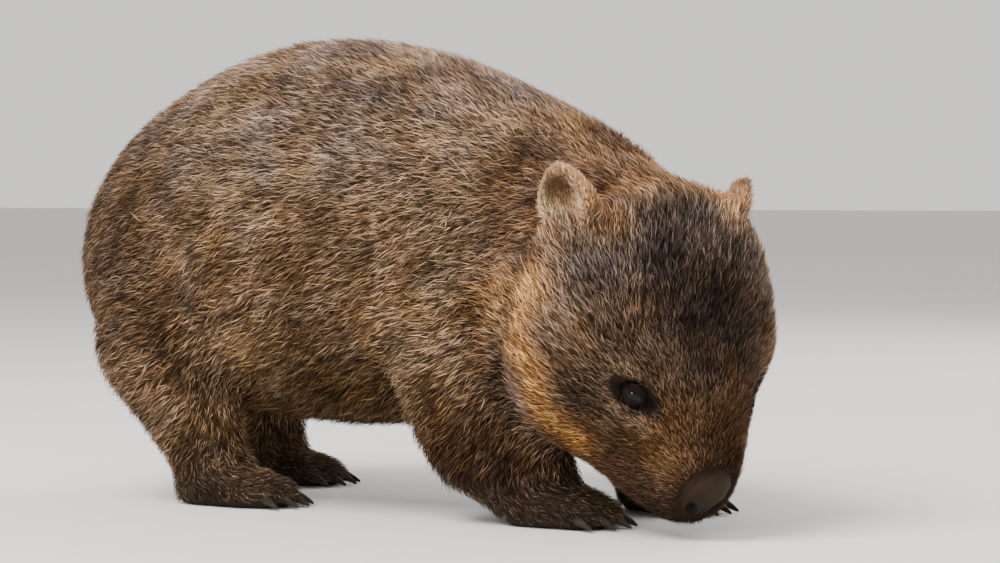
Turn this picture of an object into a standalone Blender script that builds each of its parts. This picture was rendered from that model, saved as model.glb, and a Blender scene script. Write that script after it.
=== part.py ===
"""A common wombat at life size, grazing, parted into the pieces a person would name.

The solids follow the outer surface of the coat.  +X is the way the body faces, +Y is the
animal's left and +Z is up.  The origin is on the floor, under the middle of the model.
Lengths are in metres and angles in degrees.  The body is fused from simple masses, and
thin cuts then part it into head, neck, trunk, tail and legs.
"""

import math
from typing import NamedTuple

import bmesh
import bpy
import numpy as np
from mathutils import Euler, Matrix, Vector

# How the surface is made
GAP = 0.0004  # between neighbouring solids
VOXEL = 0.0052  # grid that fuses the fleshy masses into one surface
SMOOTH_PASSES = 12
ENVELOPE_TRIANGLES = 2700
HEAD_FINENESS = 0.93  # share of the decimation that the head takes
HEAD_FINE_FLOOR = -0.13  # lowest point of the finer part, in the head's frame
THIN_FACTOR = 0.1  # how strongly that share is followed
SHARP_EDGE = 40  # edges that turn by more than this are shaded sharp
RING_SIDES = 32
REGION_SIDES = 12  # of the plain solids that part the pieces
DRUM_SIDES = 16

# The head's own frame: origin midway between the eyes, +X to the nose, +Y left, +Z to the crown
HEAD_PLACE = Vector((0.217, -0.091, 0.104))
HEAD_HEADING = -24.5
HEAD_PITCH = 51.6
HEAD_ROLL = -2.0

# Stations of the trunk and neck, back to front: x, y, z, half width, half height
TRUNK = (
    (-0.380, 0.0, 0.163, 0.024, 0.028),
    (-0.363, 0.0, 0.168, 0.065, 0.067),
    (-0.320, 0.0, 0.182, 0.104, 0.104),
    (-0.255, 0.0, 0.202, 0.134, 0.131),
    (-0.165, 0.0, 0.218, 0.154, 0.150),
    (-0.075, 0.0, 0.213, 0.154, 0.146),
    (0.015, 0.0, 0.197, 0.140, 0.125),
    (0.085, -0.004, 0.176, 0.118, 0.108),
    (0.130, -0.010, 0.163, 0.080, 0.082),
    (0.145, -0.014, 0.158, 0.036, 0.040),
)
TRUNK_PEAR = 0.10  # how much the trunk narrows towards the spine
NECK = (
    (0.010, 0.000, 0.198, 0.110, 0.102),
    (0.060, -0.012, 0.188, 0.108, 0.098),
    (0.105, -0.032, 0.179, 0.104, 0.098),
    (0.140, -0.050, 0.172, 0.094, 0.092),
)
# Stations of the head in its own frame, nose to nape: x, y, half width, lowest z, highest z;
# the cheeks swing a little towards the neck, as the head is turned to the right
HEAD = (
    (0.074, 0.000, 0.016, -0.045, -0.008),
    (0.066, 0.000, 0.029, -0.062, 0.004),
    (0.050, 0.000, 0.038, -0.076, 0.012),
    (0.027, 0.000, 0.050, -0.089, 0.022),
    (0.000, 0.000, 0.068, -0.099, 0.034),
    (-0.035, 0.001, 0.097, -0.114, 0.048),
    (-0.075, 0.005, 0.105, -0.124, 0.060),
    (-0.115, 0.009, 0.105, -0.124, 0.069),
    (-0.155, 0.009, 0.092, -0.112, 0.068),
    (-0.180, 0.006, 0.062, -0.080, 0.052),
)
HEAD_SQUARE = 0.86  # below 1 the head's sections fill out towards their corners
HEAD_CUT_STATIONS = 8  # how many of them, from the nose, are kept on the head's side of the neck
HEAD_CUT_X = -0.127  # where the head is parted from the neck
HEAD_CUT_ROOM = 0.009  # how far the cut stands off the head's own mass
NECK_CUT = ((0.0, -0.2, -0.10), (0.2, 0.2, 0.2))  # the block that parts the neck from the trunk,
NECK_CUT_PLACE = (0.049, 0.0, 0.205)  # where it is put
NECK_CUT_TURN = (0, 24, -14)  # and how it is turned


class Stance(NamedTuple):
    """How one leg stands."""

    side: str
    y: float  # distance from the mid-plane
    step: float  # how far the foot is put forward
    slim: float = 1.0  # share of the full depth of a leg
    turn: float = 0.0  # of the paw, to the left
    slant: float = 1.0  # share of the full slant near the floor


HIND_LEGS = (Stance("right", -0.083, 0.0), Stance("left", 0.079, -0.068, slim=0.74))
FORE_LEGS = (Stance("right", -0.074, 0.0), Stance("left", 0.062, 0.022, 0.72, -24.0, 0.25))
HIND_ANKLE_X = -0.205
FORE_WRIST_X = 0.085
STEP_HEIGHT = 0.25  # a step fades out at this height, where the legs join the trunk
# Stations of a leg: x from ankle or wrist, spread from the mid-plane, z, half width, half depth
HIND_LEG = (
    (-0.036, 1.00, 0.215, 0.040, 0.046),
    (-0.040, 1.05, 0.175, 0.054, 0.066),
    (-0.045, 1.10, 0.125, 0.056, 0.062),
    (-0.030, 1.08, 0.082, 0.045, 0.041),
    (-0.023, 1.04, 0.062, 0.039, 0.036),
    (-0.015, 1.00, 0.040, 0.036, 0.029),
    (-0.006, 1.00, 0.020, 0.036, 0.030),
)
FORE_LEG = (
    (-0.061, 1.15, 0.200, 0.050, 0.060),
    (-0.061, 1.25, 0.140, 0.054, 0.062),
    (-0.039, 1.15, 0.070, 0.045, 0.056),
    (-0.022, 1.00, 0.045, 0.039, 0.046),
    (-0.008, 1.00, 0.022, 0.037, 0.038),
)
# Stations of a paw: x from ankle or wrist, z, half width, half height
HIND_PAW = (
    (-0.043, 0.013, 0.012, 0.012),
    (-0.029, 0.013, 0.028, 0.018),
    (0.005, 0.013, 0.034, 0.018),
    (0.040, 0.012, 0.033, 0.016),
    (0.060, 0.010, 0.022, 0.011),
)
FORE_PAW = (
    (-0.031, 0.013, 0.014, 0.012),
    (-0.018, 0.014, 0.033, 0.020),
    (0.020, 0.014, 0.036, 0.019),
    (0.048, 0.011, 0.029, 0.014),
    (0.056, 0.009, 0.020, 0.010),
)
ANKLE_HEIGHT = 0.036  # paws are parted from the legs here
KNEE_HEIGHT = 0.098
LEG_CUT_LEVELS = (-0.010, 0.030, 0.065, KNEE_HEIGHT)  # of the solid that parts off a lower leg
LEG_CUT_ROOM = 0.009
PAW_CUT = ((-0.110, -0.052, -0.010), (0.110, 0.052, ANKLE_HEIGHT))  # from the ankle or wrist
# Drums that part off the upper legs: x from the ankle or wrist, height, spread, radii and tilt
THIGH_CUT = (-0.030, 0.160, 1.55, (0.092, 0.070, 0.120), 12)
ARM_CUT = (-0.066, 0.150, 1.75, (0.072, 0.060, 0.108), -8)
TOE_RADIUS = 0.0095
TOE_HALF_LENGTH = 0.014
TOE_SLIM = 0.8  # width of a toe over its depth
TOE_SPACING = 0.0135
TOE_SPLAY = 7.0  # between neighbouring toes
TOE_FALL_BACK = 0.0035  # how far the outer toes lie behind the middle ones, by their place squared
TOE_SINK = 0.001  # how far a toe's round reaches below the sole before it is cut flat
FORE_TOES = 5
HIND_TOES = 4
CLAW_LENGTH = 0.018
CLAW_RADIUS = 0.0044
CLAW_LIFT = 0.0006  # lowest point of a claw above the floor
CLAW_TAPER = 0.92  # share of the claw's section that is gone at its tip
CLAW_CURVE = 1.6
CLAW_SLIM = 0.8  # width of a claw over its depth

EYE_RADIUS = 0.0095
EYE = Vector((0.0005, 0.0510, -0.0005))  # left eye's centre in the head's frame
EAR_BASE = Vector((-0.117, 0.070, 0.034))
EAR_TIP = Vector((-0.150, 0.086, 0.060))
EAR_REACH = {1: 0.94, -1: 1.09}  # how far up each ear, left and right, reaches towards its tip
EAR_ROOT = Vector((-0.115, 0.079, 0.028))
EAR_ROOT_RADII = (0.022, 0.0175, 0.020)
EAR_FRONT = Vector((0.55, 0.75, 0.15))  # the way that the left ear's hollow faces
EAR_HALF_WIDTH = 0.0235
EAR_THICKNESS = 0.0125
EAR_TAPER = 0.30
EAR_LENGTHENING = 1.08  # over the distance from base to tip
EAR_CUP = (0.90, 0.70, 0.82)  # the hollow's share of the ear's thickness, width and length
EAR_CUP_FORWARD = 0.95  # of the ear's thickness
NOSE_PAD = Vector((0.0675, -0.0020, -0.0285))
NOSE_PAD_RADII = (0.0165, 0.0235, 0.0205)
TAIL = Vector((-0.366, 0.0, 0.128))
TAIL_RADII = (0.026, 0.017, 0.020)
TAIL_CUT = Vector((-0.386, 0.0, 0.119))
TAIL_CUT_RADII = (0.026, 0.026, 0.028)

COAT = (0.16, 0.105, 0.068)
DARK_COAT = (0.055, 0.038, 0.028)
RUFOUS_COAT = (0.27, 0.145, 0.075)
NOSE_LEATHER = (0.035, 0.027, 0.024)
HORN = (0.045, 0.036, 0.030)
EYE_BROWN = (0.014, 0.008, 0.006)


# Shapes


def finish(name, body, matrix=Matrix()):
    """Turns a bmesh into an object whose place is in its mesh."""
    body.transform(matrix)
    mesh = bpy.data.meshes.new(name)
    body.to_mesh(mesh)
    body.free()
    made = bpy.data.objects.new(name, mesh)
    bpy.context.scene.collection.objects.link(made)
    return made


def smooth_stations(stations, per_span):
    """Stations at even steps along a Catmull-Rom curve through the given ones."""
    rows = np.array(stations, float)
    padded = np.vstack([2 * rows[0] - rows[1], rows, 2 * rows[-1] - rows[-2]])
    made = []
    for i in range(len(rows) - 1):
        a, b, c, d = padded[i : i + 4]
        for t in np.linspace(0, 1, per_span, endpoint=False):
            slope, bend, twist = c - a, 2 * a - 5 * b + 4 * c - d, 3 * b - a - 3 * c + d
            made.append(0.5 * (2 * b + slope * t + bend * t**2 + twist * t**3))
    made.append(rows[-1])
    return np.array(made)


def loft(name, stations, matrix=Matrix(), square=1, pear=0, sides=RING_SIDES, per_span=4, margin=0):
    """A closed body through rings; each station is x, y, z, half width, half height.

    square below 1 fills the rings out towards their corners, pear narrows their upper half, and
    margin grows the body on every side.
    """
    rows = smooth_stations(stations, per_span)
    tangents = np.gradient(rows[:, :3], axis=0)
    tangents /= np.linalg.norm(tangents, axis=1, keepdims=True)
    rows[:, 3:] += margin
    rows[0, :3] -= tangents[0] * margin
    rows[-1, :3] += tangents[-1] * margin
    body = bmesh.new()
    rings = []
    for row, tangent in zip(rows, tangents):
        along = Vector(tangent)
        across = Vector((0, 1, 0))
        across = (across - along * across.dot(along)).normalized()
        up = along.cross(across)
        ring = bmesh.ops.create_circle(body, segments=sides, radius=1)["verts"]
        for vert in ring:
            flat = [math.copysign(abs(c) ** square, c) for c in vert.co.xy]
            width = flat[0] * row[3] * (1 - pear * flat[1])
            vert.co = Vector(row[:3]) + across * width + up * flat[1] * row[4]
        rings.append(ring)
    for first, second in zip(rings, rings[1:]):
        for i in range(sides):
            j = (i + 1) % sides
            body.faces.new((first[i], first[j], second[j]))
            body.faces.new((first[i], second[j], second[i]))
    body.faces.new(rings[0])
    body.faces.new(rings[-1])
    bmesh.ops.recalc_face_normals(body, faces=body.faces)
    return finish(name, body, matrix)


def turned(place, turn):
    """A matrix that turns by Euler angles in degrees and then moves to a place."""
    return Matrix.Translation(place) @ Euler([math.radians(t) for t in turn]).to_matrix().to_4x4()


def ellipsoid(name, centre, radii, turn=(0, 0, 0), matrix=Matrix(), segments=REGION_SIDES, margin=0.0):
    """An ellipsoid, turned about its centre; the margin is added to each radius."""
    body = bmesh.new()
    bmesh.ops.create_uvsphere(
        body,
        u_segments=segments,
        v_segments=segments * 2 // 3,
        radius=1,
        matrix=turned(centre, turn) @ Matrix.Diagonal((*(radius + margin for radius in radii), 1)),
    )
    return finish(name, body, matrix)


def block(name, low, high, place=(0, 0, 0), turn=(0, 0, 0), margin=0.0):
    """A box between two corners, grown by a margin on every side, turned and then placed."""
    low, high = Vector(low), Vector(high)
    size = high - low + Vector((2 * margin,) * 3)
    spread = Matrix.Translation((low + high) / 2) @ Matrix.Diagonal((*size, 1))
    body = bmesh.new()
    bmesh.ops.create_cube(body, size=1, matrix=turned(place, turn) @ spread)
    return finish(name, body)


def drum(name, centre, radii, turn, margin=0.0):
    """An elliptical drum lying across the body; its radii are half its size along x, y and z."""
    half = Vector(radii) + Vector((margin,) * 3)
    body = bmesh.new()
    bmesh.ops.create_cone(
        body,
        cap_ends=True,
        segments=DRUM_SIDES,
        radius1=1,
        radius2=1,
        depth=2,
        matrix=turned(centre, turn) @ Matrix.Diagonal((*half, 1)) @ Matrix.Rotation(math.pi / 2, 4, "X"),
    )
    return finish(name, body)


# Joining and cutting


def evaluated(thing):
    """Swaps an object's live modifiers for the mesh that they make."""
    graph = bpy.context.evaluated_depsgraph_get()
    mesh = bpy.data.meshes.new_from_object(thing.evaluated_get(graph))
    thing.modifiers.clear()
    thing.data = mesh
    return thing


def boolean(thing, tool, operation):
    """Intersects a solid with a tool, or takes the tool away from it.

    The exact solver is used, and the manifold one where that leaves the solid open.
    """
    before = thing.data
    for solver in ("EXACT", "MANIFOLD"):
        thing.data = before.copy()
        modifier = thing.modifiers.new("cut", "BOOLEAN")
        modifier.object = tool
        modifier.operation = operation
        modifier.solver = solver
        if keep_largest(evaluated(thing)):
            return thing
    raise RuntimeError(f"{thing.name} is left open by {tool.name}")


def keep_largest(thing):
    """Drops the crumbs that a cut leaves beside the main body; says whether that is closed."""
    body = bmesh.new()
    body.from_mesh(thing.data)
    bmesh.ops.remove_doubles(body, verts=body.verts, dist=1e-5)
    bmesh.ops.dissolve_degenerate(body, edges=body.edges, dist=1e-5)
    bmesh.ops.triangulate(body, faces=body.faces)
    left = set(body.verts)
    islands = []
    while left:
        island = {left.pop()}
        front = list(island)
        while front:
            here = front.pop()
            near = [edge.other_vert(here) for edge in here.link_edges]
            fresh = [vert for vert in near if vert not in island]
            island.update(fresh)
            front.extend(fresh)
        left.difference_update(island)
        islands.append(island)
    largest = max(islands, key=len, default=())
    crumbs = [vert for vert in body.verts if vert not in largest]
    bmesh.ops.delete(body, geom=crumbs, context="VERTS")
    closed = len(largest) > 0 and all(edge.is_manifold for edge in body.edges)
    body.to_mesh(thing.data)
    body.free()
    return closed


def copied(thing, name):
    """A copy of an object with a mesh of its own."""
    made = bpy.data.objects.new(name, thing.data.copy())
    bpy.context.scene.collection.objects.link(made)
    return made


def grown(thing, distance, name="grown"):
    """A copy whose surface is pushed outwards."""
    made = copied(thing, name)
    modifier = made.modifiers.new("grow", "DISPLACE")
    modifier.direction = "NORMAL"
    modifier.mid_level = 0
    modifier.strength = distance
    return evaluated(made)


def part_off(body, name, shape, *sizes, **options):
    """Cuts the piece of a body that lies inside a shape away from it, with a gap between them."""
    inner = shape("inner", *sizes, **options)
    outer = shape("outer", *sizes, margin=GAP, **options)
    piece = boolean(copied(body, name), inner, "INTERSECT")
    boolean(body, outer, "DIFFERENCE")
    for tool in (inner, outer):
        bpy.data.objects.remove(tool)
    return piece


def fuse(parts):
    """Fuses overlapping masses into one smooth closed surface with flat soles."""
    whole = bmesh.new()
    for mass in parts:
        whole.from_mesh(mass.data)
        bpy.data.objects.remove(mass)
    fused = finish("envelope", whole)
    remesh = fused.modifiers.new("fuse", "REMESH")
    remesh.mode = "VOXEL"
    remesh.voxel_size = VOXEL
    evaluated(fused)
    body = bmesh.new()
    body.from_mesh(fused.data)
    for _ in range(SMOOTH_PASSES):
        bmesh.ops.smooth_vert(
            body, verts=body.verts, factor=0.5, use_axis_x=True, use_axis_y=True, use_axis_z=True
        )
    body.to_mesh(fused.data)
    body.free()
    return fused


def thinned(envelope):
    """Spends fewer triangles on the body, and more on the head and paws."""
    to_head = head_matrix().inverted()
    group = envelope.vertex_groups.new(name="thin")
    for vert in envelope.data.vertices:
        place = to_head @ vert.co
        fine = place.x > HEAD_CUT_X and place.z > HEAD_FINE_FLOOR
        group.add([vert.index], HEAD_FINENESS if fine else 1.0, "REPLACE")
    modifier = envelope.modifiers.new("thin", "DECIMATE")
    modifier.ratio = ENVELOPE_TRIANGLES / (2 * len(envelope.data.polygons))
    modifier.vertex_group = group.name
    modifier.vertex_group_factor = THIN_FACTOR
    modifier.use_collapse_triangulate = True
    evaluated(envelope)
    below = block("below", (-1, -1, -1), (1, 1, 0))
    boolean(envelope, below, "DIFFERENCE")
    bpy.data.objects.remove(below)
    return envelope


# The animal


def head_matrix():
    """The head's frame in the body's frame."""
    angles = [math.radians(turn) for turn in (HEAD_ROLL, HEAD_PITCH, HEAD_HEADING)]
    return Matrix.Translation(HEAD_PLACE) @ Euler(angles).to_matrix().to_4x4()


def head_mass(name):
    """The head's own mass."""
    rows = [(x, y, (low + high) / 2, width, (high - low) / 2) for x, y, width, low, high in HEAD]
    return loft(name, rows, matrix=head_matrix(), square=HEAD_SQUARE)


def head_region(name, margin=0.0):
    """The solid round the head that parts it from the neck."""
    rows = []
    for x, y, width, low, high in HEAD[:HEAD_CUT_STATIONS]:
        height = (high - low) / 2
        rows.append((x, y, low + height, width + HEAD_CUT_ROOM, height + HEAD_CUT_ROOM))
    rows[-1] = (HEAD_CUT_X, *rows[-1][1:])
    rows.insert(0, (rows[0][0] + 2 * HEAD_CUT_ROOM, *rows[0][1:]))
    sizes = {"square": HEAD_SQUARE, "sides": REGION_SIDES, "per_span": 1, "margin": margin}
    return loft(name, rows, matrix=head_matrix(), **sizes)


def leg_rows(leg, stance, ankle):
    """Stations of one leg where it stands."""
    rows = []
    for x, spread, z, width, depth in leg:
        rise = z / STEP_HEIGHT
        slant = stance.slant + (1 - stance.slant) * rise
        shift = ankle + x * slant + stance.step * (1 - rise)
        rows.append((shift, stance.y * spread, z, width, depth * stance.slim))
    return rows


def leg_region(name, rows, margin=0.0):
    """The solid round a lower leg that parts it from the rest."""
    rows = np.array(rows)[::-1]
    made = []
    for level in LEG_CUT_LEVELS:
        x, y, width, depth = (np.interp(level, rows[:, 2], rows[:, i]) for i in (0, 1, 3, 4))
        made.append((x, y, level, width + LEG_CUT_ROOM, depth + LEG_CUT_ROOM))
    return loft(name, made, sides=REGION_SIDES, per_span=1, margin=margin)


def standing(stance, ankle):
    """The frame of a paw on the floor, under its ankle or wrist."""
    return turned((ankle + stance.step, stance.y, 0), (0, 0, stance.turn))


def toe_places(paw, toes):
    """Where each toe ends, and how far it turns out, in the paw's frame."""
    made = []
    for i in range(toes):
        across = i - (toes - 1) / 2
        reach = paw[-1][0] - TOE_FALL_BACK * across**2
        made.append((Vector((reach, across * TOE_SPACING, TOE_RADIUS - TOE_SINK)), across * TOE_SPLAY))
    return made


def leg_masses(name, stance, ankle, leg, paw, toes):
    """Masses of one leg with its paw and toes."""
    stand = standing(stance, ankle)
    made = [loft(f"{name}_leg", leg_rows(leg, stance, ankle))]
    made.append(loft(f"{name}_paw", [(x, 0, z, w, h) for x, z, w, h in paw], matrix=stand))
    radii = (TOE_HALF_LENGTH, TOE_RADIUS * TOE_SLIM, TOE_RADIUS)
    for spot, _ in toe_places(paw, toes):
        made.append(ellipsoid(f"{name}_toe", spot, radii, matrix=stand))
    return made


def claw(name, place, turn, stand):
    """A blunt, curved claw that grows out of a toe."""
    rows = []
    for t in (0.0, 0.5, 1.0):
        thick = CLAW_RADIUS * math.sqrt(1 - CLAW_TAPER * t)
        tip_radius = CLAW_RADIUS * math.sqrt(1 - CLAW_TAPER)
        drop = (place.z - CLAW_LIFT - tip_radius) * t**CLAW_CURVE
        rows.append((CLAW_LENGTH * t, 0, -drop, thick * CLAW_SLIM, thick))
    return loft(name, rows, matrix=stand @ turned(place, (0, 0, turn)), sides=6, per_span=1)


def ear(name, side, envelope):
    """A small cupped ear, standing on the back corner of the head."""
    flip = Vector((1, side, 1))
    base, tip = EAR_BASE * flip, EAR_BASE.lerp(EAR_TIP, EAR_REACH[side]) * flip
    up = (tip - base).normalized()
    front = EAR_FRONT * flip
    front = (front - up * front.dot(up)).normalized()
    across = up.cross(front)
    place = Matrix((front, across, up)).transposed().to_4x4()
    half = (tip - base).length / 2
    centre = (base + tip) / 2
    leaf_radii = (EAR_THICKNESS, EAR_HALF_WIDTH, half * EAR_LENGTHENING)
    cup_radii = (EAR_THICKNESS * EAR_CUP[0], EAR_HALF_WIDTH * EAR_CUP[1], half * EAR_CUP[2])
    leaf = ellipsoid(name, (0, 0, 0), leaf_radii, matrix=Matrix.Translation(centre) @ place, segments=12)
    cup_at = Matrix.Translation(centre + front * EAR_THICKNESS * EAR_CUP_FORWARD) @ place
    cup = ellipsoid("cup", (0, 0, 0), cup_radii, matrix=cup_at, segments=10)
    for made in (leaf, cup):
        for vert in made.data.vertices:
            rise = (vert.co - centre).dot(up) / half
            aside = (vert.co - centre).dot(across)
            vert.co -= across * aside * EAR_TAPER * rise
        made.data.transform(head_matrix())
    boolean(leaf, cup, "DIFFERENCE")
    boolean(leaf, envelope, "DIFFERENCE")
    bpy.data.objects.remove(cup)
    return leaf


def masses():
    """Every mass that is fused into the body."""
    made = [loft("trunk_mass", TRUNK, pear=TRUNK_PEAR), loft("neck_mass", NECK), head_mass("head_mass")]
    made.append(ellipsoid("tail_mass", TAIL, TAIL_RADII, turn=(0, -35, 0)))
    for side in (-1, 1):
        root = EAR_ROOT * Vector((1, side, 1))
        made.append(ellipsoid("ear_root", root, EAR_ROOT_RADII, matrix=head_matrix()))
    for stance in HIND_LEGS:
        made += leg_masses("hind", stance, HIND_ANKLE_X, HIND_LEG, HIND_PAW, HIND_TOES)
    for stance in FORE_LEGS:
        made += leg_masses("fore", stance, FORE_WRIST_X, FORE_LEG, FORE_PAW, FORE_TOES)
    return made


def part_leg(body, names, stance, ankle, leg, upper_cut):
    """Parts one leg into its paw, its lower length and its upper length."""
    paw, lower, upper = (f"{name}_{stance.side}" for name in names)
    stand = ((ankle + stance.step, stance.y, 0), (0, 0, stance.turn))
    made = {paw: part_off(body, paw, block, *PAW_CUT, *stand)}
    made[lower] = part_off(body, lower, leg_region, leg_rows(leg, stance, ankle))
    x, height, spread, radii, tilt = upper_cut
    centre = (ankle + x + stance.step * (1 - height / STEP_HEIGHT), stance.y * spread, height)
    made[upper] = part_off(body, upper, drum, centre, radii, (0, tilt, 0))
    return made


def claws(paw_node, name, stance, ankle, paw, toes):
    """The claws of one paw, each in its own pocket."""
    made = {}
    for number, (spot, splay) in enumerate(toe_places(paw, toes), 1):
        nail = claw(f"claw_{name}_{stance.side}_{number}", spot, splay, standing(stance, ankle))
        pocket = grown(nail, GAP)
        boolean(paw_node, pocket, "DIFFERENCE")
        bpy.data.objects.remove(pocket)
        made[nail.name] = nail
    return made


def face(head):
    """The nose pad and the eyes, each let into the head."""
    to_body = head_matrix()
    made = {"nose_pad": part_off(head, "nose_pad", ellipsoid, NOSE_PAD, NOSE_PAD_RADII, matrix=to_body)}
    for side, sign in (("right", -1), ("left", 1)):
        seat = (EYE * Vector((1, sign, 1)), (EYE_RADIUS,) * 3)
        made[f"eye_{side}"] = ellipsoid(f"eye_{side}", *seat, matrix=to_body)
        socket = ellipsoid("socket", *seat, matrix=to_body, margin=GAP)
        boolean(head, socket, "DIFFERENCE")
        bpy.data.objects.remove(socket)
    return made


def material(name, colour, roughness):
    """A plain material for one sub-part."""
    made = bpy.data.materials.new(name)
    made.use_nodes = True
    shader = made.node_tree.nodes["Principled BSDF"]
    shader.inputs["Base Color"].default_value = (*colour, 1)
    shader.inputs["Roughness"].default_value = roughness
    shader.inputs["Metallic"].default_value = 0.0
    return made


def dress(nodes):
    """Gives each piece its own material and smooth shading."""
    looks = {
        "eye": (EYE_BROWN, 0.1),
        "nose": (NOSE_LEATHER, 0.45),
        "claw": (HORN, 0.4),
        "ear": (RUFOUS_COAT, 0.9),
        "hindpaw": (DARK_COAT, 0.9),
        "forepaw": (DARK_COAT, 0.9),
    }
    for name, node in nodes.items():
        colour, roughness = looks.get(name.split("_")[0], (COAT, 0.9))
        node.data.materials.clear()
        node.data.materials.append(material(f"{name}_finish", colour, roughness))
        node.data.shade_smooth()
        node.data.set_sharp_from_angle(angle=math.radians(SHARP_EDGE))


def recentre(nodes):
    """Puts the origin on the floor under the middle of the model."""
    points = [vert.co for node in nodes.values() for vert in node.data.vertices]
    middle = [(min(p[i] for p in points) + max(p[i] for p in points)) / 2 for i in (0, 1)]
    for node in nodes.values():
        node.data.transform(Matrix.Translation((-middle[0], -middle[1], 0)))


def main():
    """Builds every piece of the wombat."""
    for old in list(bpy.data.objects):
        bpy.data.objects.remove(old)
    body = thinned(fuse(masses()))

    nodes = {}
    skin = grown(body, GAP)
    for side, sign in (("right", -1), ("left", 1)):
        nodes[f"ear_{side}"] = ear(f"ear_{side}", sign, skin)
    bpy.data.objects.remove(skin)

    nodes["head"] = part_off(body, "head", head_region)
    nodes.update(face(nodes["head"]))
    for stance in HIND_LEGS:
        names = ("hindpaw", "shank", "thigh")
        nodes.update(part_leg(body, names, stance, HIND_ANKLE_X, HIND_LEG, THIGH_CUT))
        paw = nodes[f"hindpaw_{stance.side}"]
        nodes.update(claws(paw, "hind", stance, HIND_ANKLE_X, HIND_PAW, HIND_TOES))
    for stance in FORE_LEGS:
        names = ("forepaw", "forearm", "upper_arm")
        nodes.update(part_leg(body, names, stance, FORE_WRIST_X, FORE_LEG, ARM_CUT))
        paw = nodes[f"forepaw_{stance.side}"]
        nodes.update(claws(paw, "fore", stance, FORE_WRIST_X, FORE_PAW, FORE_TOES))
    nodes["tail"] = part_off(body, "tail", ellipsoid, TAIL_CUT, TAIL_CUT_RADII)
    nodes["neck"] = part_off(body, "neck", block, *NECK_CUT, NECK_CUT_PLACE, NECK_CUT_TURN)
    nodes["trunk"] = body
    body.name = "trunk"

    recentre(nodes)
    dress(nodes)


main()
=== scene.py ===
"""Dresses the wombat: one skin, a coat of mesh tufts, eyes, lids, nose, claws and whiskers.

Lengths are in metres and angles in degrees.  +X is the way the body faces, +Y is the
animal's left and +Z is up.  The head has axes of its own: +X to the nose, +Y left and +Z to
the crown, from a point midway between the eyes.
"""

import logging
import math
from dataclasses import dataclass, field
from enum import Enum

import bmesh
import bpy
import numpy as np
from mathutils import Euler, Matrix, Vector, noise
from mathutils.bvhtree import BVHTree
from mathutils.kdtree import KDTree


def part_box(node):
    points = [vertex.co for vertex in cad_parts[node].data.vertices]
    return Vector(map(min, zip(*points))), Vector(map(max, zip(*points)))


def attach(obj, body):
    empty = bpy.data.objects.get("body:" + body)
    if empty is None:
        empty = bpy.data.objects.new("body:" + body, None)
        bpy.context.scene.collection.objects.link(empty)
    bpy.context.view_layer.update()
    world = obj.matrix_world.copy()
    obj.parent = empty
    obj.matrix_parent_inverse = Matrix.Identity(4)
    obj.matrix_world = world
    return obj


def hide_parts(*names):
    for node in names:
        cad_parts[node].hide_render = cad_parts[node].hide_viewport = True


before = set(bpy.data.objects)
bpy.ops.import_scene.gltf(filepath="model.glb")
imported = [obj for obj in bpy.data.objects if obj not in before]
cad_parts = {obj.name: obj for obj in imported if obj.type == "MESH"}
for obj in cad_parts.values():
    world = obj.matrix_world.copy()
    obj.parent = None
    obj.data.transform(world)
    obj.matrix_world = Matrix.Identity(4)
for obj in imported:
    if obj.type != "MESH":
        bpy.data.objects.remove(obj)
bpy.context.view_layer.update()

log = logging.getLogger("wombat")
SEED = 41
BAKE_MAP = "OFBake"
TONE = "coat_tone"  # the colour attribute that skin and coat share
SIDES = {"right": -1, "left": 1}

Array = np.ndarray
Colour = tuple[float, float, float]
Spot = tuple[float, float, float]


class Part(Enum):
    """The fleshy regions of the body, by the first word of their nodes' names."""

    TRUNK = "trunk"
    NECK = "neck"
    HEAD = "head"
    NOSE = "nose"
    EAR = "ear"
    TAIL = "tail"
    THIGH = "thigh"
    SHANK = "shank"
    HINDPAW = "hindpaw"
    ARM = "upper"
    FOREARM = "forearm"
    FOREPAW = "forepaw"


PARTS = list(Part)


def flesh_nodes() -> dict[str, bpy.types.Object]:
    """The nodes that the skin stands for, by name.

    Returns:
        Every node but the eyes, the nose pad and the claws.
    """
    words = {part.value for part in Part} - {Part.NOSE.value}
    return {name: node for name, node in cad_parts.items() if name.split("_")[0] in words}


def box_centre(name: str) -> Vector:
    """The middle of a node's box."""
    low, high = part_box(name)
    return (Vector(low) + Vector(high)) / 2


def unit(vectors: Array) -> Array:
    """Vectors of length one.

    Args:
        vectors: Rows of x, y and z.

    Returns:
        The same directions, with zero rows left at zero.
    """
    return vectors / np.maximum(np.linalg.norm(vectors, axis=-1, keepdims=True), 1e-9)


def step(values: Array, start: float, end: float) -> Array:
    """A smooth rise from 0 at start to 1 at end, which may be the lower of the two."""
    t = np.clip((values - start) / (end - start), 0, 1)
    return t * t * (3 - 2 * t)


def blob(points: Array, centre: Spot, radii: Spot) -> Array:
    """A soft spot, 1 at its centre and fading past its radii.

    Args:
        points: Rows of x, y and z.
        centre: The spot's centre.
        radii: Its size along each axis.

    Returns:
        One value from 0 to 1 for each point.
    """
    away = (points - np.array(centre)) / np.array(radii)
    return np.exp(-np.sum(away**2, axis=1))


def crease(points: Array, line: tuple[Spot, ...], width: float) -> Array:
    """A soft band along a line through given points, 1 on the line.

    Args:
        points: Rows of x, y and z.
        line: The line's corners.
        width: How far from the line the band has faded to about a third.

    Returns:
        One value from 0 to 1 for each point.
    """
    nearest = np.full(len(points), np.inf)
    for first, second in zip(line, line[1:]):
        start, along = np.array(first), np.array(second) - np.array(first)
        t = np.clip((points - start) @ along / (along @ along), 0, 1)
        nearest = np.minimum(nearest, np.linalg.norm(points - start - t[:, None] * along, axis=1))
    return np.exp(-((nearest / width) ** 2))


def one_side(points: Array) -> Array:
    """The same points, with those of the right side mirrored to the left."""
    return points * np.where(points[:, 1:2] < 0, (1, -1, 1), (1, 1, 1))


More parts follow.
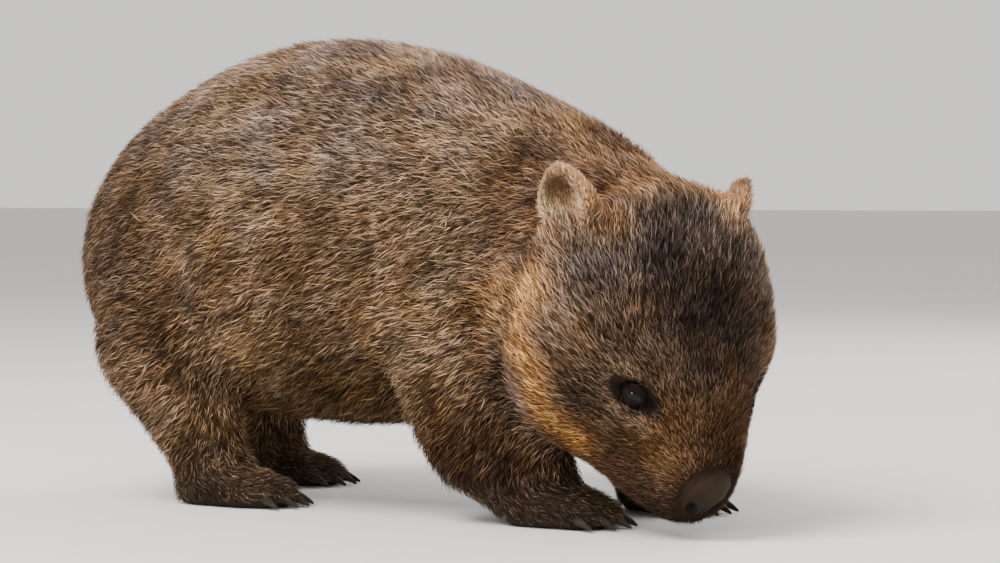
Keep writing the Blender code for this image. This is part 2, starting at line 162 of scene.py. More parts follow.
def wobble(points: Array, cells: float) -> Array:
    """Smooth random vectors over space, about as many cells to the metre as asked."""
    return np.array([noise.noise_vector(Vector(point) * cells) for point in points])


# Frames


@dataclass(frozen=True)
class HeadFrame:
    """Where the head is and how it is turned."""

    heading: float = -24.5
    pitch: float = 51.6
    roll: float = -2.0
    eye_offset: Spot = (0.0005, 0.0, -0.0005)

    def turn(self) -> Matrix:
        """The head's turn, as a 3 by 3 matrix."""
        return Euler([math.radians(a) for a in (self.roll, self.pitch, self.heading)]).to_matrix()

    def matrix(self) -> Matrix:
        """The head's frame in the body's frame."""
        middle = (box_centre("eye_right") + box_centre("eye_left")) / 2
        place = middle - self.turn() @ Vector(self.eye_offset)
        return Matrix.Translation(place) @ self.turn().to_4x4()

    def to_head(self, points: Array) -> Array:
        """Points of the body's frame in the head's own frame."""
        inverse = np.array(self.matrix().inverted())
        return points @ inverse[:3, :3].T + inverse[:3, 3]

    def to_body(self, directions: Array) -> Array:
        """Directions in the head's frame, turned into the body's frame."""
        return directions @ np.array(self.turn()).T


@dataclass(frozen=True)
class EyeFrame:
    """Where an eye is and how its lids lie.  Its x runs to the inner corner and its z looks out."""

    side: str
    head: HeadFrame
    radius: float = 0.0110
    set_back: float = 0.0042  # of the ball's centre from the middle of its node
    gaze: Spot = (0.50, 0.75, 0.43)
    inner: Spot = (0.80, -0.59, 0.15)
    lid_centre: float = 0.0030  # how far the lids reach further to the inner corner
    lid_half: tuple[float, float] = (0.0185, 0.0088)

    def matrix(self) -> Matrix:
        """The eye's frame in the body's frame."""
        sign = SIDES[self.side]
        flip = Vector((1, sign, 1))
        axis = (self.head.turn() @ (Vector(self.gaze) * flip)).normalized()
        along = self.head.turn() @ (Vector(self.inner) * flip)
        along = (along - axis * along.dot(axis)).normalized()
        up = axis.cross(along) * -sign
        turn = Matrix((along, up, axis)).transposed().to_4x4()
        return Matrix.Translation(box_centre(f"eye_{self.side}") - axis * self.set_back) @ turn

    def to_eye(self, points: Array) -> Array:
        """Points of the body's frame in the eye's frame."""
        inverse = np.array(self.matrix().inverted())
        return points @ inverse[:3, :3].T + inverse[:3, 3]

    def within(self, points: Array) -> Array:
        """How far each point is from the lids' middle.

        Args:
            points: Rows in the body's frame.

        Returns:
            One value for each point, 1 at the lids' outer edge.
        """
        local = self.to_eye(points)
        flat = (local[:, :2] - (self.lid_centre, 0)) / self.lid_half
        far = np.linalg.norm(local, axis=1) > 4 * self.radius
        return np.where(far, 9.0, np.linalg.norm(flat, axis=1))


@dataclass(frozen=True)
class PawFrame:
    """The frame of a paw: its middle, and the way that its toes point."""

    node: str
    claws: str

    def forward(self) -> Vector:
        """The level direction from the paw's middle to its claws."""
        names = [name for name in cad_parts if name.startswith(self.claws)]
        ahead = sum((box_centre(name) for name in names), Vector()) / len(names) - box_centre(self.node)
        return Vector((ahead.x, ahead.y, 0)).normalized()


PAWS = {
    f"{end}_{side}": PawFrame(f"{end}paw_{side}", f"claw_{end}_{side}")
    for end in ("hind", "fore")
    for side in SIDES
}


# Meshes


@dataclass
class Surface:
    """The points, normals, edges and triangles of a mesh as arrays."""

    mesh: bpy.types.Mesh
    points: Array = field(init=False)
    normals: Array = field(init=False)
    edges: Array = field(init=False)

    def __post_init__(self) -> None:
        """Reads the mesh."""
        self.points = self._read(self.mesh.vertices, "co", float, 3)
        self.normals = self._read(self.mesh.vertices, "normal", float, 3)
        self.edges = self._read(self.mesh.edges, "vertices", int, 2)

    def _read(self, rows: object, name: str, kind: type, width: int) -> Array:
        """One property of many elements.

        Args:
            rows: The elements.
            name: The property's name.
            kind: Its type.
            width: How many values it has.

        Returns:
            One row for each element.
        """
        made = np.empty(len(rows) * width, kind)
        rows.foreach_get(name, made)
        return made.reshape(-1, width)

    def triangles(self) -> Array:
        """The vertices of each triangle."""
        self.mesh.calc_loop_triangles()
        return self._read(self.mesh.loop_triangles, "vertices", int, 3)

    def triangle_loops(self) -> Array:
        """The loops of each triangle."""
        return self._read(self.mesh.loop_triangles, "loops", int, 3)

    def bake_places(self) -> Array:
        """Where each loop lies on the bake map."""
        return self._read(self.mesh.uv_layers[BAKE_MAP].data, "uv", float, 2)

    def spread(self, values: Array, passes: int) -> Array:
        """Evens values out over neighbouring points.

        Args:
            values: One row for each point.
            passes: How many times each point takes the mean of its neighbours.

        Returns:
            The evened rows.
        """
        first, second = self.edges.T
        count = len(self.points)
        degree = np.bincount(first, minlength=count) + np.bincount(second, minlength=count)
        values = values.copy()
        for _ in range(passes):
            for column in values.T:
                total = np.bincount(first, column[second], count)
                total += np.bincount(second, column[first], count)
                column[:] = 0.5 * column + 0.5 * total / np.maximum(degree, 1)
        return values

    def move(self, points: Array) -> None:
        """Puts the mesh's points somewhere else and reads it again.

        Args:
            points: Where each point goes.
        """
        self.mesh.vertices.foreach_set("co", points.ravel())
        self.mesh.update()
        self.__post_init__()


def mesh_object(name: str, body: bmesh.types.BMesh) -> bpy.types.Object:
    """Turns a bmesh into a smooth object at the origin.

    Args:
        name: The object's name.
        body: The bmesh, which is freed.

    Returns:
        The object.
    """
    mesh = bpy.data.meshes.new(name)
    body.to_mesh(mesh)
    body.free()
    mesh.shade_smooth()
    made = bpy.data.objects.new(name, mesh)
    bpy.context.scene.collection.objects.link(made)
    return made


def evaluated(made: bpy.types.Object) -> None:
    """Swaps an object's live modifiers for the mesh that they make.

    Args:
        made: The object.
    """
    graph = bpy.context.evaluated_depsgraph_get()
    mesh = bpy.data.meshes.new_from_object(made.evaluated_get(graph))
    made.modifiers.clear()
    made.data = mesh


def paint(mesh: bpy.types.Mesh, colours: Array) -> None:
    """Writes the shared colour attribute.

    Args:
        mesh: The mesh.
        colours: One row of red, green and blue for each point.
    """
    layer = mesh.color_attributes.new(TONE, "FLOAT_COLOR", "POINT")
    rows = np.ones((len(colours), 4))
    rows[:, :3] = np.clip(colours, 0, 1)
    layer.data.foreach_set("color", rows.ravel())


def disc(reach: float, rings: int, steps: int) -> bmesh.types.BMesh:
    """A flat round sheet that is spun up from a spoke.

    Args:
        reach: Its radius.
        rings: How many points the spoke has.
        steps: How many spokes there are.

    Returns:
        The bmesh.
    """
    body = bmesh.new()
    spoke = [body.verts.new((t, 0.0, 0.0)) for t in np.linspace(0, reach, rings)]
    edges = [body.edges.new(pair) for pair in zip(spoke, spoke[1:])]
    turn = {"cent": (0, 0, 0), "axis": (0, 0, 1), "dvec": (0, 0, 0), "angle": math.tau}
    bmesh.ops.spin(body, geom=spoke + edges, steps=steps, use_merge=True, **turn)
    bmesh.ops.remove_doubles(body, verts=body.verts, dist=1e-6)
    return body


def settle(piece: bpy.types.Object, slot: str, *nodes: str) -> None:
    """Rides a piece on the one body and hides the nodes that it stands for.

    Args:
        piece: The piece.
        slot: Its slot; not used.
        nodes: The nodes, if any.
    """
    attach(piece, "root")
    if nodes:
        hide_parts(*nodes)
    triangles = sum(len(face.vertices) - 2 for face in piece.data.polygons)
    log.info("%s: %d triangles", piece.name, triangles)


# Finishes


class Sock:
    """A shader value that can be added and multiplied in Python."""

    def __init__(self, shade: "Shade", socket: bpy.types.NodeSocket) -> None:
        """Wraps an output socket of one material."""
        self.shade = shade
        self.socket = socket

    def _maths(self, operation: str, first: object, second: object) -> "Sock":
        """Adds one Math node."""
        return self.shade.node("ShaderNodeMath", {"operation": operation}, {0: first, 1: second})

    def __add__(self, other: object) -> "Sock":
        """Self plus other."""
        return self._maths("ADD", self, other)

    def __mul__(self, other: object) -> "Sock":
        """Self times other."""
        return self._maths("MULTIPLY", self, other)

    __radd__ = __add__
    __rmul__ = __mul__


@dataclass
class Shade:
    """Builds the node tree of one material."""

    name: str
    material: bpy.types.Material = field(init=False)

    def __post_init__(self) -> None:
        """Makes the material."""
        self.material = bpy.data.materials.new(self.name)
        self.material.use_nodes = True
        self.tree = self.material.node_tree
        self.surface = self.tree.nodes["Principled BSDF"]

    def node(self, kind: str, settings: dict, sockets: dict, out: object = 0) -> Sock:
        """Adds a node.

        Args:
            kind: The node's type.
            settings: Its properties, set before its sockets.
            sockets: Values or links, by input name or index.
            out: The output that is wanted, by name or index.

        Returns:
            That output.
        """
        made = self.tree.nodes.new(kind)
        for key, value in settings.items():
            setattr(made, key, value)
        for key, value in sockets.items():
            self._feed(made.inputs[key], value)
        return Sock(self, made.outputs[out])

    def _feed(self, socket: bpy.types.NodeSocket, value: object) -> None:
        """Links or sets one input."""
        if isinstance(value, Sock):
            self.tree.links.new(value.socket, socket)
        else:
            socket.default_value = value

    def ramp(self, value: Sock, *stops: tuple) -> Sock:
        """A colour ramp.

        Args:
            value: What goes in.
            stops: Pairs of a position and a grey value or a colour.

        Returns:
            The colour.
        """
        made = self.node("ShaderNodeValToRGB", {}, {0: value}, "Color")
        elements = made.socket.node.color_ramp.elements
        while len(elements) < len(stops):
            elements.new(0.5)
        for element, (place, colour) in zip(elements, stops):
            element.position = place
            element.color = (*colour, 1) if isinstance(colour, tuple) else (colour, colour, colour, 1)
        return made

    def place(self) -> Sock:
        """Object coordinates."""
        return self.node("ShaderNodeTexCoord", {}, {}, "Object")

    def grain(self, scale: float, detail: float = 2.0, stretch: Spot = (1, 1, 1)) -> Sock:
        """Noise from 0 to 1 on object coordinates.

        Args:
            scale: How many cells to the metre, about.
            detail: How many finer layers it has.
            stretch: A factor on each axis.

        Returns:
            The noise value.
        """
        spot = self.node("ShaderNodeMapping", {}, {"Vector": self.place(), "Scale": stretch})
        return self.node("ShaderNodeTexNoise", {}, {"Vector": spot, "Scale": scale, "Detail": detail}, "Fac")

    def mix(self, factor: object, first: object, second: object, blend: str = "MIX") -> Sock:
        """Mixes two colours."""
        settings = {"data_type": "RGBA", "blend_type": blend}
        return self.node("ShaderNodeMix", settings, {0: factor, 6: first, 7: second}, 2)

    def bump(self, height: Sock, strength: float, distance: float) -> Sock:
        """A normal bent by a height."""
        sockets = {"Height": height, "Strength": strength, "Distance": distance}
        return self.node("ShaderNodeBump", {}, sockets)

    def tone(self) -> Sock:
        """The colour that is painted on the mesh."""
        return self.node("ShaderNodeAttribute", {"attribute_name": TONE}, {}, "Color")

    def finish(self, **inputs: object) -> bpy.types.Material:
        """Feeds the surface shader.

        Args:
            inputs: Values or links, by input name with underscores for spaces.

        Returns:
            The material.
        """
        for key, value in inputs.items():
            self._feed(self.surface.inputs[key.replace("_", " ")], value)
        return self.material


@dataclass(frozen=True)
class CoatFinish:
    """Coarse dry fur; every tuft's colour is painted on it."""

    grain_scale: float = 900.0
    roughness: float = 0.72

    def material(self) -> bpy.types.Material:
        """The fur's material."""
        shade = Shade("coat_fur")
        grain = shade.grain(self.grain_scale, 3.0)
        streak = shade.ramp(grain, (0.3, 0.78), (0.7, 1.0))
        return shade.finish(
            Base_Color=shade.mix(1.0, shade.tone(), streak, "MULTIPLY"),
            Roughness=grain * 0.2 + (self.roughness - 0.1),
            Specular_IOR_Level=0.06,
        )


@dataclass(frozen=True)
class SkinFinish:
    """The undercoat close to the skin, in the same markings as the coat."""

    depths: Colour = (0.014, 0.009, 0.006)

    def material(self) -> bpy.types.Material:
        """The undercoat's material."""
        shade = Shade("undercoat")
        fuzz = shade.grain(1500.0, 4.0)
        patch = shade.grain(160.0, 2.0)
        colour = shade.mix(1.0, shade.tone(), shade.ramp(fuzz, (0.3, 0.12), (0.7, 0.55)), "MULTIPLY")
        return shade.finish(
            Base_Color=shade.mix(patch * 0.6, colour, (*self.depths, 1)),
            Roughness=fuzz * 0.15 + 0.8,
            Specular_IOR_Level=0.05,
            Normal=shade.bump(fuzz, 0.6, 0.0015),
        )


@dataclass(frozen=True)
class LeatherFinish:
    """Bare, finely pebbled dark skin in the colours that are painted on it."""

    name: str
    roughness: float
    gloss: float
    moist: float
    pebbles: float = 850.0

    def material(self) -> bpy.types.Material:
        """The bare skin's material."""
        shade = Shade(self.name)
        cells = {"Vector": shade.place(), "Scale": self.pebbles, "Randomness": 0.9}
        pebble = shade.node("ShaderNodeTexVoronoi", {"feature": "SMOOTH_F1"}, cells, "Distance")
        patch = shade.grain(90.0, 3.0)
        fine = shade.grain(2600.0, 3.0)
        worn = shade.ramp(patch, (0.3, 0.75), (0.7, 1.25))
        return shade.finish(
            Base_Color=shade.mix(1.0, shade.tone(), worn, "MULTIPLY"),
            Roughness=patch * 0.2 + (self.roughness - 0.1),
            Specular_IOR_Level=self.gloss,
            Coat_Weight=self.moist,
            Coat_Roughness=0.35,
            Normal=shade.bump(pebble * -1.0 + fine * 0.25, 0.35, 0.0006),
        )


@dataclass(frozen=True)
class EyeFinish:
    """A wet, very dark brown eye with a black pupil."""

    centre: Spot
    axis: Spot
    radius: float
    iris: Colour = (0.010, 0.004, 0.002)
    rim: Colour = (0.003, 0.002, 0.0015)
    pupil: Colour = (0.0015, 0.0012, 0.001)

    def material(self, name: str) -> bpy.types.Material:
        """The eye's material, whose pupil and iris follow the eye's axis.

        Args:
            name: The material's name.

        Returns:
            The material.
        """
        shade = Shade(name)
        away = {0: shade.place(), 1: self.centre}
        away = shade.node("ShaderNodeVectorMath", {"operation": "SUBTRACT"}, away)
        out = {0: away, 1: self.axis}
        height = shade.node("ShaderNodeVectorMath", {"operation": "DOT_PRODUCT"}, out, "Value")
        streaks = shade.grain(1300.0, 4.0)
        level = height * (1 / self.radius) + streaks * 0.04
        stops = ((0.70, self.rim), (0.82, self.iris), (0.93, self.iris), (0.96, self.pupil))
        return shade.finish(
            Base_Color=shade.ramp(level, *stops),
            Roughness=streaks * 0.04 + 0.05,
            Specular_IOR_Level=0.20,
        )


@dataclass(frozen=True)
class HornFinish:
    """Dark horn, paler and worn in streaks."""

    colour: Colour = (0.016, 0.012, 0.009)
    worn: Colour = (0.035, 0.026, 0.019)

    def material(self) -> bpy.types.Material:
        """The claws' material."""
        shade = Shade("horn")
        fibre = shade.grain(500.0, 3.0, (0.25, 1.0, 1.0))
        streak = shade.ramp(fibre, (0.45, 0.0), (0.75, 1.0))
        return shade.finish(
            Base_Color=shade.mix(streak, (*self.colour, 1), (*self.worn, 1)),
            Roughness=fibre * 0.25 + 0.40,
            Specular_IOR_Level=0.14,
            Normal=shade.bump(fibre, 0.4, 0.0004),
        )


@dataclass(frozen=True)
class WhiskerFinish:
    """Stiff whiskers, dark at the root and pale towards the tip."""

    def material(self) -> bpy.types.Material:
        """The whiskers' material."""
        shade = Shade("whisker")
        return shade.finish(
            Base_Color=shade.tone(),
            Roughness=shade.grain(900.0, 2.0) * 0.2 + 0.4,
            Specular_IOR_Level=0.10,
        )


@dataclass(frozen=True)
class FloorFinish:
    """A matt pale floor."""

    colour: Colour = (0.62, 0.61, 0.59)
    shaded: Colour = (0.58, 0.57, 0.55)

    def material(self) -> bpy.types.Material:
        """The floor's material."""
        shade = Shade("floor_matt")
        mottle = shade.grain(6.0, 4.0)
        colour = shade.mix(mottle, (*self.colour, 1), (*self.shaded, 1))
        return shade.finish(Base_Color=colour, Roughness=mottle * 0.1 + 0.85)


# The markings, which skin and coat share

FLANK_FOLD = (  # the fold of skin that hangs over the front of the thigh
    (-0.176, 0.144, 0.188),
    (-0.167, 0.147, 0.156),
    (-0.157, 0.146, 0.132),
    (-0.134, 0.138, 0.111),
    (-0.113, 0.120, 0.096),
    (-0.099, 0.100, 0.080),
)
NECK_FOLD = (  # behind the cheek, in the head's frame
    (-0.150, 0.078, 0.020),
    (-0.125, 0.094, -0.010),
    (-0.103, 0.100, -0.027),
    (-0.084, 0.094, -0.068),
    (-0.074, 0.070, -0.105),
)
CHEEK_BAND = (  # the orange edge of the cheek, in the head's frame
    (-0.100, 0.104, -0.022),
    (-0.074, 0.104, -0.045),
    (-0.048, 0.100, -0.045),
    (-0.022, 0.080, -0.060),
    (0.000, 0.058, -0.060),
)
ELBOW_FOLD = ((0.030, 0.145, 0.160), (0.026, 0.130, 0.120), (0.018, 0.100, 0.092))
EAR_HOLLOW = ((-0.139, 0.084, 0.051), (0.0100, 0.0100, 0.0115))
MOUTH = ((0.076, 0.0, -0.050), (0.062, 0.024, -0.053), (0.034, 0.040, -0.064))
NOSE_SEAT = (0.0690, -0.0025, -0.0270)  # the middle of the bare pad, in the head's frame
FOLD_SHADE = 0.016  # how wide a fold's shadow is painted


@dataclass(frozen=True)
class Markings:
    """The coat's colours over the body.  Each colour is the middle of a hair."""

    head: HeadFrame
    back: Colour = (0.165, 0.103, 0.067)
    flank: Colour = (0.188, 0.110, 0.056)
    # dark belly hair, darkened further as painted shade under the body
    belly: Colour = (0.060, 0.032, 0.010)
    rump: Colour = (0.086, 0.051, 0.031)
    tan: Colour = (0.330, 0.205, 0.105)
    shadow: Colour = (0.040, 0.022, 0.012)
    legs: Colour = (0.205, 0.118, 0.059)
    forelegs: Colour = (0.072, 0.037, 0.017)
    feet: Colour = (0.082, 0.053, 0.034)
    neck: Colour = (0.128, 0.063, 0.029)
    cheek: Colour = (0.410, 0.180, 0.036)
    face: Colour = (0.086, 0.050, 0.027)
    crown: Colour = (0.096, 0.065, 0.047)
    forehead: Colour = (0.025, 0.016, 0.011)
    muzzle: Colour = (0.087, 0.042, 0.017)
    # dark bare lip skin, and painted shade under the chin and in the mouth's crease
    lips_and_shade: Colour = (0.045, 0.022, 0.012)
    brow: Colour = (0.330, 0.215, 0.130)
    # paler greyer hair on the upper flank and shoulder top, lightened further as painted light from above
    saddle_and_top_light: Colour = (0.260, 0.180, 0.120)
    shoulder: Colour = (0.209, 0.124, 0.065)
    golden: Colour = (0.230, 0.120, 0.042)
    ear: Colour = (0.430, 0.215, 0.095)
    ear_rim: Colour = (0.520, 0.325, 0.175)
    ear_inside: Colour = (0.150, 0.092, 0.052)
    lids: Colour = (0.020, 0.013, 0.010)
    temple: Colour = (0.140, 0.083, 0.045)

    def colours(self, points: Array, weights: Array) -> Array:
        """The middle colour of the hair at each point.

        Args:
            points: Rows in the body's frame.
            weights: How much each point belongs to each part.

        Returns:
            Rows of red, green and blue.
        """
        share = dict(zip(PARTS, weights.T))
        height = points[:, 2]
        hind = share[Part.THIGH] + share[Part.SHANK] + share[Part.HINDPAW]
        fore = share[Part.ARM] + share[Part.FOREARM] + share[Part.FOREPAW]
        # the shoulder's top, lightened as painted light from above as well as paler hair
        crest = blob(one_side(points), (0.100, 0.105, 0.262), (0.050, 0.060, 0.045))
        made = self._layers(
            self._body(points, share),
            (self.legs, step(height, 0.140, 0.072) * hind),
            (self.forelegs, step(height, 0.135, 0.055) * fore),
            (self.feet, step(height, 0.062, 0.012) * (hind + fore)),
            (self.neck, 0.8 * share[Part.NECK]),
            (self.saddle_and_top_light, 0.40 * crest),
        )
        return self._head(made, points, share)

    def _body(self, points: Array, share: dict) -> Array:
        """The trunk's colours, from the back down to the belly and rump.

        Args:
            points: Rows in the body's frame.
            share: How much each point belongs to each part.

        Returns:
            Rows of red, green and blue.
        """
        height, side = points[:, 2], one_side(points)
        low = share[Part.TRUNK] + share[Part.TAIL]
        spots = (
            (self.shadow, 0.35, (-0.030, 0.148, 0.168), (0.050, 0.060, 0.024)),
            (self.shadow, 0.60, (-0.161, 0.147, 0.146), (0.018, 0.040, 0.020)),
            # the belly colour on the lower flank: dark hair and painted shade under the body
            (self.belly, 0.90, (-0.010, 0.105, 0.100), (0.085, 0.070, 0.045)),
            # paler upper flank: greyer hair and painted light from above
            (self.saddle_and_top_light, 0.42, (-0.035, 0.130, 0.280), (0.140, 0.070, 0.046)),
            (self.shoulder, 0.85, (0.100, 0.140, 0.165), (0.060, 0.080, 0.075)),
            (self.tan, 0.60, (-0.098, 0.128, 0.128), (0.034, 0.055, 0.018)),
            (self.tan, 0.60, (0.062, 0.142, 0.135), (0.030, 0.060, 0.045)),
        )
        return self._layers(
            np.tile(self.flank, (len(points), 1)),
            (self.back, step(height, 0.230, 0.330)),
            (self.rump, 0.8 * step(points[:, 0], -0.10, -0.24) * step(height, 0.04, 0.16)),
            *((colour, strength * blob(side, centre, radii)) for colour, strength, centre, radii in spots),
            # darker towards the bottom of the trunk: dark belly hair and painted shade under the body
            (self.belly, step(height, 0.100, 0.072) * low),
            (self.shadow, 1.05 * crease(side, FLANK_FOLD, FOLD_SHADE)),
            (self.shadow, 0.35 * crease(side, ELBOW_FOLD, FOLD_SHADE)),
        )

    def _head(self, made: Array, points: Array, share: dict) -> Array:
        """The head's colours, from the nape forward to the nose.

        Args:
            made: The colours so far.
            points: Rows in the body's frame.
            share: How much each point belongs to each part.

        Returns:
            The colours with the head's laid over them.
        """
        local = self.head.to_head(points)
        side = one_side(local)
        ahead = local[:, 0]
        head = share[Part.HEAD] + share[Part.NOSE]
        near = head + share[Part.NECK] + share[Part.ARM]
        cheek = step(side[:, 1], 0.074, 0.104) * step(ahead, -0.045, -0.090)
        dark = 1.12 * blob(local, (-0.036, 0.003, 0.048), (0.054, 0.058, 0.064))
        dark = np.maximum(dark, 0.8 * blob(local, (0.000, 0.0, 0.032), (0.030, 0.020, 0.030)))
        brow = blob(side, (-0.011, 0.060, 0.009), (0.012, 0.012, 0.006))
        brow += 0.7 * blob(side, (0.025, 0.052, -0.010), (0.014, 0.014, 0.008))
        temple = blob(side, (-0.030, 0.088, 0.008), (0.034, 0.030, 0.030))
        golden = blob(side, (0.050, 0.034, -0.018), (0.014, 0.014, 0.014))
        # painted shade under the chin and the front of the jaw
        under = 0.9 * head * step(local[:, 2], -0.036, -0.060) * step(ahead, 0.0, 0.045)
        above_pad = blob(side, (0.054, 0.0, -0.012), (0.013, 0.018, 0.014))
        round_pad = blob(side, (0.0675, 0.0, -0.0285), (0.022, 0.0285, 0.0255))
        eyes = (EyeFrame(name, self.head) for name in SIDES)
        made = self._layers(
            made,
            (self.crown, head),
            (self.face, head * step(ahead, -0.075, -0.030)),
            (self.cheek, 0.75 * cheek * (head + 0.3 * share[Part.NECK])),
            (self.cheek, 0.70 * head * crease(side, CHEEK_BAND, FOLD_SHADE)),
            (self.forehead, dark * head),
            (self.muzzle, 0.9 * head * step(ahead, 0.004, 0.030)),
            (self.brow, 0.50 * brow * head),
            (self.temple, 0.60 * temple * head),
            (self.golden, 0.7 * golden * head),
            (self.lips_and_shade, 0.7 * head * above_pad),
            # painted shade under the chin, in the lip colour
            (self.lips_and_shade, under),
            # the mouth's line: dark lip skin and painted shade in its crease
            (self.lips_and_shade, 0.9 * head * crease(side, MOUTH, 0.006)),
            (self.lips_and_shade, head * round_pad**0.5),
            *((self.lids, step(eye.within(points), 1.22, 1.00)) for eye in eyes),
            (self.shadow, 0.55 * near * crease(side, NECK_FOLD, 0.014)),
        )
        return self._ears(made, side, share[Part.EAR], near)

    def _ears(self, made: Array, side: Array, ear: Array, near: Array) -> Array:
        """The ears: rufous, with a cream rim, a dark hollow and pale hair at the front base.

        Args:
            made: The colours so far.
            side: The points in the head's frame, mirrored to the left.
            ear: How much each point belongs to an ear.
            near: How much it belongs to the head and what is next to it.

        Returns:
            The colours with the ears' laid over them.
        """
        base = blob(side, (-0.114, 0.056, 0.062), (0.018, 0.016, 0.020))
        across = side[:, 2] - side[:, 1]
        rim = np.maximum(step(across, -0.033, -0.039), step(side[:, 0], -0.142, -0.150))
        rim = np.maximum(rim, np.exp(-(((across + 0.020) / 0.005) ** 2)))
        return self._layers(
            made,
            (self.ear, 0.75 * base * near),
            (self.ear, ear),
            (self.ear_rim, 0.75 * rim * ear),
            (self.ear_inside, 1.2 * blob(side, *EAR_HOLLOW) * ear),
        )

    def _layers(self, made: Array, *layers: tuple[Colour, Array]) -> Array:
        """Lays colours over one another.

        Args:
            made: The colours underneath, one row for each point.
            layers: Pairs of a colour and its factor for each point, from below upwards.

        Returns:
            The colours on top.
        """
        for colour, factor in layers:
            made = made + (np.array(colour) - made) * np.clip(factor, 0, 1)[:, None]
        return made


# The skin

COAT_DEPTHS = {
    Part.TRUNK: 0.0070,
    Part.NECK: 0.0072,
    Part.HEAD: 0.0062,
    Part.NOSE: 0.0020,
    Part.EAR: 0.0009,
    Part.TAIL: 0.0040,
    Part.THIGH: 0.0070,
    Part.SHANK: 0.0060,
    Part.HINDPAW: 0.0032,
    Part.ARM: 0.0068,
    Part.FOREARM: 0.0060,
    Part.FOREPAW: 0.0032,
}


@dataclass
class Skin:
    """One closed skin under the coat, fused from the nodes of flesh."""

    head: HeadFrame
    markings: Markings
    voxel: float = 0.0031
    overlap: float = 0.0005
    body_passes: int = 40
    face_passes: int = 12
    fine_passes: int = 3
    target: int = 104000  # triangles, before the face is made finer
    face_depth: float = 0.0026
    inset_steps: int = 4
    sole: float = 0.004
    lowest: float = 0.0006  # over the floor
    pressed: float = 0.012  # how wide a fold is pressed in
    flank_fold: float = 0.0080
    elbow_fold: float = 0.0040
    neck_fold: float = 0.0050
    mouth: float = 0.0022
    brow_rise: float = 0.0016
    ear_hollow: float = 0.0075
    eye_seat: float = 0.0050
    pad_seat: float = 0.0065
    piece: bpy.types.Object = field(init=False)
    surface: Surface = field(init=False)
    weights: Array = field(init=False)
    depth: Array = field(init=False)
    lid_tree: BVHTree = field(init=False)

    def build(self) -> None:
        """Fuses, smooths, insets, sculpts, unwraps and dresses the skin."""
        self.tree, self.owners = self._solids()
        self.piece = self._fused()
        self._smooth()
        self._thin()
        self._refine((0.000, 0.0, -0.010), 0.085)
        self._refine((0.035, 0.0, -0.025), 0.052)
        self.surface = Surface(self.piece.data)
        self._restore()
        self.weights = self.surface.spread(self._nearest(self.surface.points), 24)
        self.depth = self._coat_depth()
        self._inset()
        self.lid_tree = self._as_tree()
        self._sculpt()
        self._unwrap()
        self.surface = Surface(self.piece.data)
        paint(self.piece.data, self.markings.colours(self.surface.points, self.weights))
        self.piece.data.materials.append(SkinFinish().material())
        self.piece.data.shade_smooth()
        settle(self.piece, "coat", *flesh_nodes())

    def _solids(self) -> tuple[BVHTree, list[int]]:
        """The nodes of flesh and the nose pad as one search tree, and the part of each face."""
        corners, faces, owners = [], [], []
        for name, node in (*flesh_nodes().items(), ("nose_pad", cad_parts["nose_pad"])):
            start = len(corners)
            corners += [vert.co for vert in node.data.vertices]
            faces += [[start + i for i in face.vertices] for face in node.data.polygons]
            owners += [PARTS.index(Part(name.split("_")[0]))] * len(node.data.polygons)
        return BVHTree.FromPolygons(corners, faces), owners

    def _fused(self) -> bpy.types.Object:
        """The nodes of flesh, swollen until they overlap and remeshed into one."""
        whole = bmesh.new()
        for node in (*flesh_nodes().values(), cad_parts["nose_pad"]):
            part = bmesh.new()
            part.from_mesh(node.data)
            bmesh.ops.remove_doubles(part, verts=part.verts, dist=1e-6)
            part.normal_update()
            for vert, normal in [(vert, vert.normal.copy()) for vert in part.verts]:
                vert.co += normal * self.overlap
            swollen = bpy.data.meshes.new("swollen")
            part.to_mesh(swollen)
            part.free()
            whole.from_mesh(swollen)
            bpy.data.meshes.remove(swollen)
        made = mesh_object("skin", whole)
        remesh = made.modifiers.new("fuse", "REMESH")
        remesh.mode = "VOXEL"
        remesh.voxel_size = self.voxel
        evaluated(made)
        return made

    def _smooth(self) -> None:
        """Smooths the body well, the face less, and ears and paws least."""
        surface = Surface(self.piece.data)
        share = dict(zip(PARTS, surface.spread(self._nearest(surface.points), 6).T))
        self.fineness = share[Part.EAR] + share[Part.HINDPAW] + share[Part.FOREPAW]
        face = share[Part.HEAD] + share[Part.NOSE]
        groups = (
            (self.fine_passes, self.fineness >= 0),
            (self.face_passes, self.fineness < 0.4),
            (self.body_passes, (self.fineness < 0.1) & (face < 0.5)),
        )
        self.fineness = self.fineness + face
        for passes, chosen in groups:
            rows = np.flatnonzero(chosen)
            for _ in range(passes):
                evened = surface.spread(surface.points, 1)
                surface.points[rows] = evened[rows]
        surface.move(surface.points)

    def _thin(self) -> None:
        """Spends fewer triangles on the body than on head, ears and paws."""
        group = self.piece.vertex_groups.new(name="thin")
        for index, fine in enumerate(self.fineness):
            group.add([index], 1 - min(1.0, fine), "REPLACE")
        modifier = self.piece.modifiers.new("thin", "DECIMATE")
        modifier.ratio = self.target / (2 * len(self.piece.data.polygons))
        modifier.vertex_group = group.name
        modifier.use_collapse_triangulate = True
        evaluated(self.piece)
        self.piece.vertex_groups.clear()

    def _refine(self, centre: Spot, reach: float) -> None:
        """Splits the skin's faces near a point.

        Args:
            centre: The point, in the head's frame.
            reach: How far from it faces are split.
        """
        body = bmesh.new()
        body.from_mesh(self.piece.data)
        local = self.head.to_head(np.array([vert.co for vert in body.verts]))
        near = np.linalg.norm(local - centre, axis=1) < reach
        edges = [edge for edge in body.edges if near[edge.verts[0].index] and near[edge.verts[1].index]]
        bmesh.ops.subdivide_edges(body, edges=edges, cuts=1, use_grid_fill=True)
        bmesh.ops.triangulate(body, faces=[face for face in body.faces if len(face.verts) > 3])
        body.to_mesh(self.piece.data)
        body.free()

